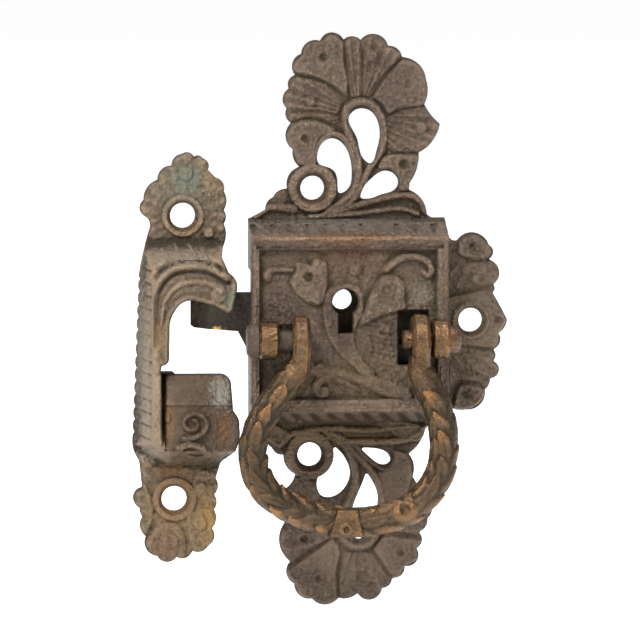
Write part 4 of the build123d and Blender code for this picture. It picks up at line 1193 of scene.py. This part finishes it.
# %% Cast grain group
FLOAT, VECTOR = "NodeSocketFloat", "NodeSocketVector"
grain_tree, grain_in, grain_out = new_group(
    "cast_grain", [("Vector", VECTOR), ("Coarse", FLOAT), ("Fine", FLOAT)],
    ["Mottle", "Grain", "Cloud", "Height"])
broad = add(grain_tree, "ShaderNodeTexNoise",
            {"Vector": grain_in["Vector"], "Scale": grain_in["Coarse"], "Detail": 5.0,
             "Roughness": 0.62})
small = add(grain_tree, "ShaderNodeTexNoise",
            {"Vector": grain_in["Vector"], "Scale": grain_in["Fine"], "Detail": 4.0,
             "Roughness": 0.65})
cells = add(grain_tree, "ShaderNodeTexVoronoi",
            {"Vector": grain_in["Vector"],
             "Scale": math_node(grain_tree, "MULTIPLY", grain_in["Fine"], 0.7)})
pits = math_node(grain_tree, "MULTIPLY", cells.outputs["Distance"], 0.35)
cloud = add(grain_tree, "ShaderNodeTexNoise",
            {"Vector": grain_in["Vector"],
             "Scale": math_node(grain_tree, "MULTIPLY", grain_in["Coarse"], 0.42), "Detail": 6.0,
             "Roughness": 0.7})
for noise, socket in ((cloud, "Cloud"), (broad, "Mottle"), (small, "Grain")):
    grain_tree.links.new(noise.outputs["Fac"], grain_out[socket])
lumps = math_node(grain_tree, "MULTIPLY", broad.outputs["Fac"], 1.3)
grain_tree.links.new(math_node(grain_tree, "ADD",
                               math_node(grain_tree, "ADD", small.outputs["Fac"], pits), lumps),
                               grain_out["Height"])

# %% Edge wear, dirt and painted crevice shade group
wear_dirt_shade_tree, wear_in, wear_dirt_shade_out = new_group(
    "edge_wear_dirt_shade", [("Ridge", FLOAT), ("Mottle", FLOAT), ("Grain", FLOAT), ("Amount", FLOAT)],
    ["Worn", "Dirt", "CreviceShade"])
uneven = math_node(wear_dirt_shade_tree, "ADD",
                   from_level(wear_dirt_shade_tree, wear_in["Mottle"], 0.5, 2.2),
                   from_level(wear_dirt_shade_tree, wear_in["Grain"], 0.5, 1.6))
high = math_node(wear_dirt_shade_tree, "ADD", math_node(wear_dirt_shade_tree, "MULTIPLY", wear_in["Ridge"], 0.9), uneven)
wear_dirt_shade_tree.links.new(math_node(wear_dirt_shade_tree, "MULTIPLY", high, wear_in["Amount"], clamp=True),
                    wear_dirt_shade_out["Worn"])
low_place = math_node(wear_dirt_shade_tree, "SUBTRACT", uneven,
                      math_node(wear_dirt_shade_tree, "MULTIPLY", wear_in["Ridge"], 1.0))
wear_dirt_shade_tree.links.new(math_node(wear_dirt_shade_tree, "MULTIPLY", low_place, 0.9, clamp=True), wear_dirt_shade_out["Dirt"])

# Painted crevice shade: places lower than their surroundings are pushed towards near black, as
# painted shade.
crevice_shade = math_node(wear_dirt_shade_tree, "MULTIPLY", math_node(wear_dirt_shade_tree, "ADD", wear_in["Ridge"], 0.5), -1.4)
wear_dirt_shade_tree.links.new(math_node(wear_dirt_shade_tree, "ADD", crevice_shade,
                              math_node(wear_dirt_shade_tree, "MULTIPLY", uneven, 0.15), clamp=True),
                              wear_dirt_shade_out["CreviceShade"])

# %% Patch group
patch_tree, patch_in, patch_out = new_group(
    "patch", [("Vector", VECTOR), ("Centre", VECTOR), ("Size", VECTOR), ("Grain", FLOAT)], ["Mask"])
offset = add(patch_tree, "ShaderNodeVectorMath", {0: patch_in["Vector"], 1: patch_in["Centre"]},
             operation="SUBTRACT").outputs["Vector"]
scaled = add(patch_tree, "ShaderNodeVectorMath", {0: offset, 1: patch_in["Size"]},
             operation="DIVIDE").outputs["Vector"]
share = add(patch_tree, "ShaderNodeVectorMath", {0: scaled}, operation="LENGTH").outputs["Value"]
ragged = from_level(patch_tree, patch_in["Grain"], 0.5, 2.4)
inside = math_node(patch_tree, "SUBTRACT", math_node(patch_tree, "ADD", ragged, 1.0), share)
patch_tree.links.new(math_node(patch_tree, "MULTIPLY", inside, 1.6, clamp=True), patch_out["Mask"])


# %% Bronze
COARSE_GRAIN, FINE_GRAIN = 210.0, 1500.0


def bronze(name, body, second, dark, worn, wear=0.6, rough=0.52, metal=0.35, bump=0.35,
           fleck=(0.26, 0.215, 0.15), cloudy=(0.095, 0.07, 0.035), patches=()):
    """A patinated metal: two mottled browns, dirt and painted crevice shade in the hollows, worn
    high places and local patches.
    """
    material = bpy.data.materials.new(name)
    material.use_nodes = True
    tree = material.node_tree
    shader = tree.nodes["Principled BSDF"]
    shader.inputs["Specular IOR Level"].default_value = 0.35
    place = add(tree, "ShaderNodeTexCoord").outputs["Object"]
    grain = add(tree, "ShaderNodeGroup",
                {"Vector": place, "Coarse": COARSE_GRAIN, "Fine": FINE_GRAIN},
                node_tree=grain_tree)
    ridge = add(tree, "ShaderNodeAttribute", attribute_name="ridge").outputs["Fac"]
    use = add(tree, "ShaderNodeGroup", {
        "Ridge": ridge, "Mottle": grain.outputs["Mottle"], "Grain": grain.outputs["Grain"],
        "Amount": wear,
    }, node_tree=wear_dirt_shade_tree)
    speckle = math_node(tree, "ADD", grain.outputs["Mottle"],
                        math_node(tree, "MULTIPLY", grain.outputs["Grain"], 1.1))
    spread = from_level(tree, speckle, 0.88, 3.0, clamp=True)
    colour = blend_colours(tree, spread, (*body, 1), (*second, 1))
    olive = from_level(tree, grain.outputs["Cloud"], 0.49, 5.0, clamp=True)
    colour = blend_colours(tree, math_node(tree, "MULTIPLY", olive, 0.6), colour, (*cloudy, 1))
    colour = blend_colours(tree, use.outputs["Dirt"], colour, (*dark, 1))
    # Painted crevice shade: the deepest creases take the dark colour at 0.45 brightness.
    colour = blend_colours(tree, use.outputs["CreviceShade"], colour, (*[0.45 * v for v in dark], 1))
    colour = blend_colours(tree, use.outputs["Worn"], colour, (*worn, 1))
    flecks = from_level(tree, grain.outputs["Grain"], 0.57, 8.0, clamp=True)
    gathered = from_level(tree, grain.outputs["Cloud"], 0.46, 6.0, clamp=True)
    colour = blend_colours(tree, math_node(tree, "MULTIPLY", flecks, gathered), colour, (*fleck, 1))
    rest = use.outputs["Worn"]
    for centre, size, tint, strength, *shine in patches:
        spot = add(tree, "ShaderNodeGroup", {
            "Vector": place, "Grain": grain.outputs["Grain"],
            "Centre": [v * MM for v in centre], "Size": [v * MM for v in np.broadcast_to(size, 3)],
        }, node_tree=patch_tree)
        colour = blend_colours(tree, math_node(tree, "MULTIPLY", spot.outputs["Mask"], strength),
                               colour, (*tint, 1))
        if shine:
            rest = math_node(tree, "MAXIMUM", rest, spot.outputs["Mask"])
    tree.links.new(colour, shader.inputs["Base Color"])
    tree.links.new(math_node(tree, "ADD", math_node(tree, "MULTIPLY", rest, 0.45), metal),
                   shader.inputs["Metallic"])
    dull = math_node(tree, "ADD", math_node(tree, "MULTIPLY", grain.outputs["Grain"], 0.3),
                     rough - 0.1)
    dull = math_node(tree, "ADD", dull, math_node(tree, "MULTIPLY", use.outputs["CreviceShade"], 0.35))
    gloss = math_node(tree, "SUBTRACT", dull, math_node(tree, "MULTIPLY", rest, 0.16))
    tree.links.new(gloss, shader.inputs["Roughness"])
    relief_node = add(tree, "ShaderNodeBump",
                      {"Strength": bump, "Distance": 0.0011, "Height": grain.outputs["Height"]})
    tree.links.new(relief_node.outputs["Normal"], shader.inputs["Normal"])
    print("material", name)
    return material


# %% The finishes of this latch
GREEN, CHALK = (0.11, 0.14, 0.1), (0.3, 0.29, 0.25)
RUST, GOLD = (0.14, 0.066, 0.024), (0.62, 0.4, 0.13)
UMBER, OCHRE = (0.062, 0.04, 0.024), (0.2, 0.13, 0.06)
dark_bronze = bronze(
    "dark_bronze", (0.066, 0.044, 0.032), (0.118, 0.081, 0.06), (0.06, 0.042, 0.022),
    (0.225, 0.16, 0.11),
    wear=0.48, metal=0.4, bump=0.75, rough=0.36, cloudy=(0.105, 0.078, 0.04),
    patches=[
        ((12.5, -9.5, 5.2), 2.6, CHALK, 0.15),
        ((-6.1, -2.4, 23.7), 2.9, RUST, 0.8),
        ((22.2, -2.4, 0.0), 2.9, RUST, 0.8),
        ((-6.6, -2.4, -23.9), 2.9, RUST, 0.7),
        ((2.0, -9.8, -9.0), (12.0, 3.0, 5.0), (0.125, 0.088, 0.045), 0.55),
        ((0.0, -9.8, 14.5), 9.0, RUST, 0.25),
        # Rubbed top edge of the frame, partly wear and partly painted highlight: a bright orange
        # line along the raised lip.
        ((-1.0, -10.0, 15.05), (17.0, 2.0, 0.42), (0.34, 0.19, 0.095), 0.5, True),
        ((-2.0, -4.0, -20.2), (18.0, 6.0, 3.2), (0.135, 0.095, 0.045), 0.75),
        ((0.0, -5.5, 17.4), (20.0, 6.0, 2.0), (0.165, 0.14, 0.115), 0.6),
        ((22.5, -2.4, 0.0), (7.0, 5.0, 17.0), (0.155, 0.118, 0.078), 0.55),
        ((2.0, -2.4, -43.0), (16.0, 5.0, 9.0), (0.14, 0.1, 0.072), 0.5),
        ((2.0, -2.4, -28.0), (14.0, 3.0, 6.0), (0.1, 0.068, 0.042), 0.5),
        # Painted shadow: a dark patch on the box face under the left lug and the ring's left arm.
        ((-13.0, -9.4, -8.0), (3.0, 3.0, 5.5), (0.045, 0.032, 0.018), 0.6),
    ])
warm_bronze = bronze(
    "warm_bronze", (0.062, 0.037, 0.02), (0.1, 0.056, 0.026), (0.04, 0.028, 0.014),
    (0.3, 0.15, 0.06),
    wear=0.55, rough=0.2, metal=0.6, bump=0.38, cloudy=(0.07, 0.052, 0.026),
    fleck=(0.16, 0.12, 0.07),
    patches=[
        ((9.0, -15.0, -33.0), (14.0, 5.0, 3.5), (0.1, 0.06, 0.03), 0.5),
        ((-18.0, -13.5, -22.0), (3.5, 6.0, 8.0), (0.04, 0.028, 0.016), 0.55),
        ((-13.5, -13.0, -2.0), (6.0, 6.0, 5.0), (0.085, 0.05, 0.026), 0.6, True),
        ((13.0, -14.0, -4.0), (5.0, 5.0, 5.0), (0.14, 0.08, 0.04), 0.4, True),
    ])
ochre_bronze = bronze(
    "ochre_bronze", (0.076, 0.052, 0.033), (0.145, 0.1, 0.064), (0.048, 0.033, 0.017),
    (0.27, 0.2, 0.135),
    wear=0.58, metal=0.25, bump=0.6,
    patches=[
        ((-28.4, -2.6, 25.4), 3.6, GREEN, 0.7),
        ((-20.8, -9.0, 4.6), 2.2, GREEN, 0.6),
        ((-26.5, -7.5, -17.0), (7.0, 5.0, 11.0), UMBER, 0.95),
        ((-35.0, -5.0, -23.6), (3.4, 5.0, 1.9), (0.25, 0.21, 0.17), 0.7),
        ((-28.5, -6.0, -24.2), (5.0, 5.0, 2.2), UMBER, 0.85),
        ((-32.0, -9.0, -17.0), (1.3, 4.0, 6.0), RUST, 0.6),
        ((-22.2, -8.5, -18.0), (1.8, 4.0, 4.5), RUST, 0.6),
        ((-34.0, -9.0, -2.0), 3.4, OCHRE, 0.5),
        ((-28.0, -2.4, -34.0), 10.0, OCHRE, 0.55),
        ((-29.2, -2.4, 18.9), 3.5, RUST, 0.85),
        ((-29.0, -3.0, 23.0), (6.0, 3.0, 6.0), (0.13, 0.13, 0.1), 0.35),
        ((-30.8, -2.4, -31.6), 4.6, RUST, 0.8),
        ((-32.5, -3.0, -39.5), (3.0, 3.0, 4.5), (0.15, 0.08, 0.05), 0.6),
        ((-31.0, -3.0, -26.4), (4.0, 3.0, 1.8), RUST, 0.6),
        ((-36.6, -6.0, -6.0), (1.9, 5.0, 19.0), (0.2, 0.168, 0.135), 0.6),
        ((-30.0, -7.0, 12.2), (8.0, 5.0, 2.4), (0.2, 0.165, 0.13), 0.55),
        ((-24.5, -2.4, -35.0), (2.6, 3.0, 5.0), (0.26, 0.16, 0.055), 0.75),
        ((-24.0, -2.4, 26.0), (2.2, 3.0, 3.6), (0.24, 0.16, 0.08), 0.5),
        ((-22.6, -8.6, -11.8), (2.6, 3.0, 4.2), CHALK, 0.55),
    ])
# The lever's near-black colour is partly blackened patina and partly painted shade of the tongue
# under the keeper's hook; the gold patch is wear where the tongue rubs.
black_lever = bronze(
    "black_lever", (0.018, 0.014, 0.012), (0.034, 0.026, 0.021), (0.014, 0.011, 0.01),
    (0.1, 0.08, 0.068),
    wear=0.3, rough=0.5, fleck=(0.08, 0.065, 0.05), patches=[
        ((-23.4, -5.2, -1.4), (1.5, 3.0, 0.9), GOLD, 1.0, True),
    ])
old_steel = bronze("old_steel", (0.075, 0.05, 0.036), (0.05, 0.034, 0.024), (0.03, 0.02, 0.014),
                   (0.15, 0.115, 0.09), metal=0.4,
                   patches=[
        ((-17.4, -13.2, -2.6), 1.6, RUST, 0.8),
    ])
spring_wire = bronze("spring_wire", (0.2, 0.18, 0.16), (0.13, 0.11, 0.09), (0.07, 0.055, 0.045),
                     (0.4, 0.38, 0.35), metal=0.5, rough=0.4)
sheet_brass = bronze("sheet_brass", (0.05, 0.037, 0.022), (0.075, 0.055, 0.03),
                     (0.025, 0.018, 0.012), (0.16, 0.12, 0.065), metal=0.4)

# %% [markdown]
# ## Every piece to its body
#
# The new pieces ride on the body of the CAD part they stand for; the small steel and brass
# parts stay as the CAD made them and only take a finish.

# %% Ride, replace, slot
PIECES = [
    ("case", "face_casting", "dark_bronze", dark_bronze,
     [top_finial, bottom_finial, side_fan, case_box]),
    ("case", "face_casting", "warm_bronze", warm_bronze, [left_lug, right_lug]),
    ("ring", "ring_pull", "warm_bronze", warm_bronze,
     [ring_wreath, left_arm, right_arm, ring_finger, ring_clasp]),
    ("case", "keeper", "ochre_bronze", ochre_bronze, [keeper_body]),
    ("case", "lever_spring", "spring_wire", spring_wire, [lever_coil]),
]
for body_name, cad_node, slot_name, finish, pieces in PIECES:
    for piece in pieces:
        piece.data.materials.append(finish)
        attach(piece, body_name)
        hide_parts(cad_node)

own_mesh(lever_coil)

CAD_FINISHES = {
    "back_cover": sheet_brass, "cover_screws": old_steel, "left_hinge_pin": old_steel,
    "right_hinge_screw": warm_bronze,
    "latch_lever": black_lever, "lever_stud": old_steel, "lever_washer": old_steel,
    "spring_seat_pin": old_steel, "lock_slide": sheet_brass, "slide_pins": old_steel,
    "slide_leaf": spring_wire,
    "leaf_rivet": old_steel,
}
for cad_node, finish in CAD_FINISHES.items():
    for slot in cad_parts[cad_node].material_slots:
        slot.material = finish
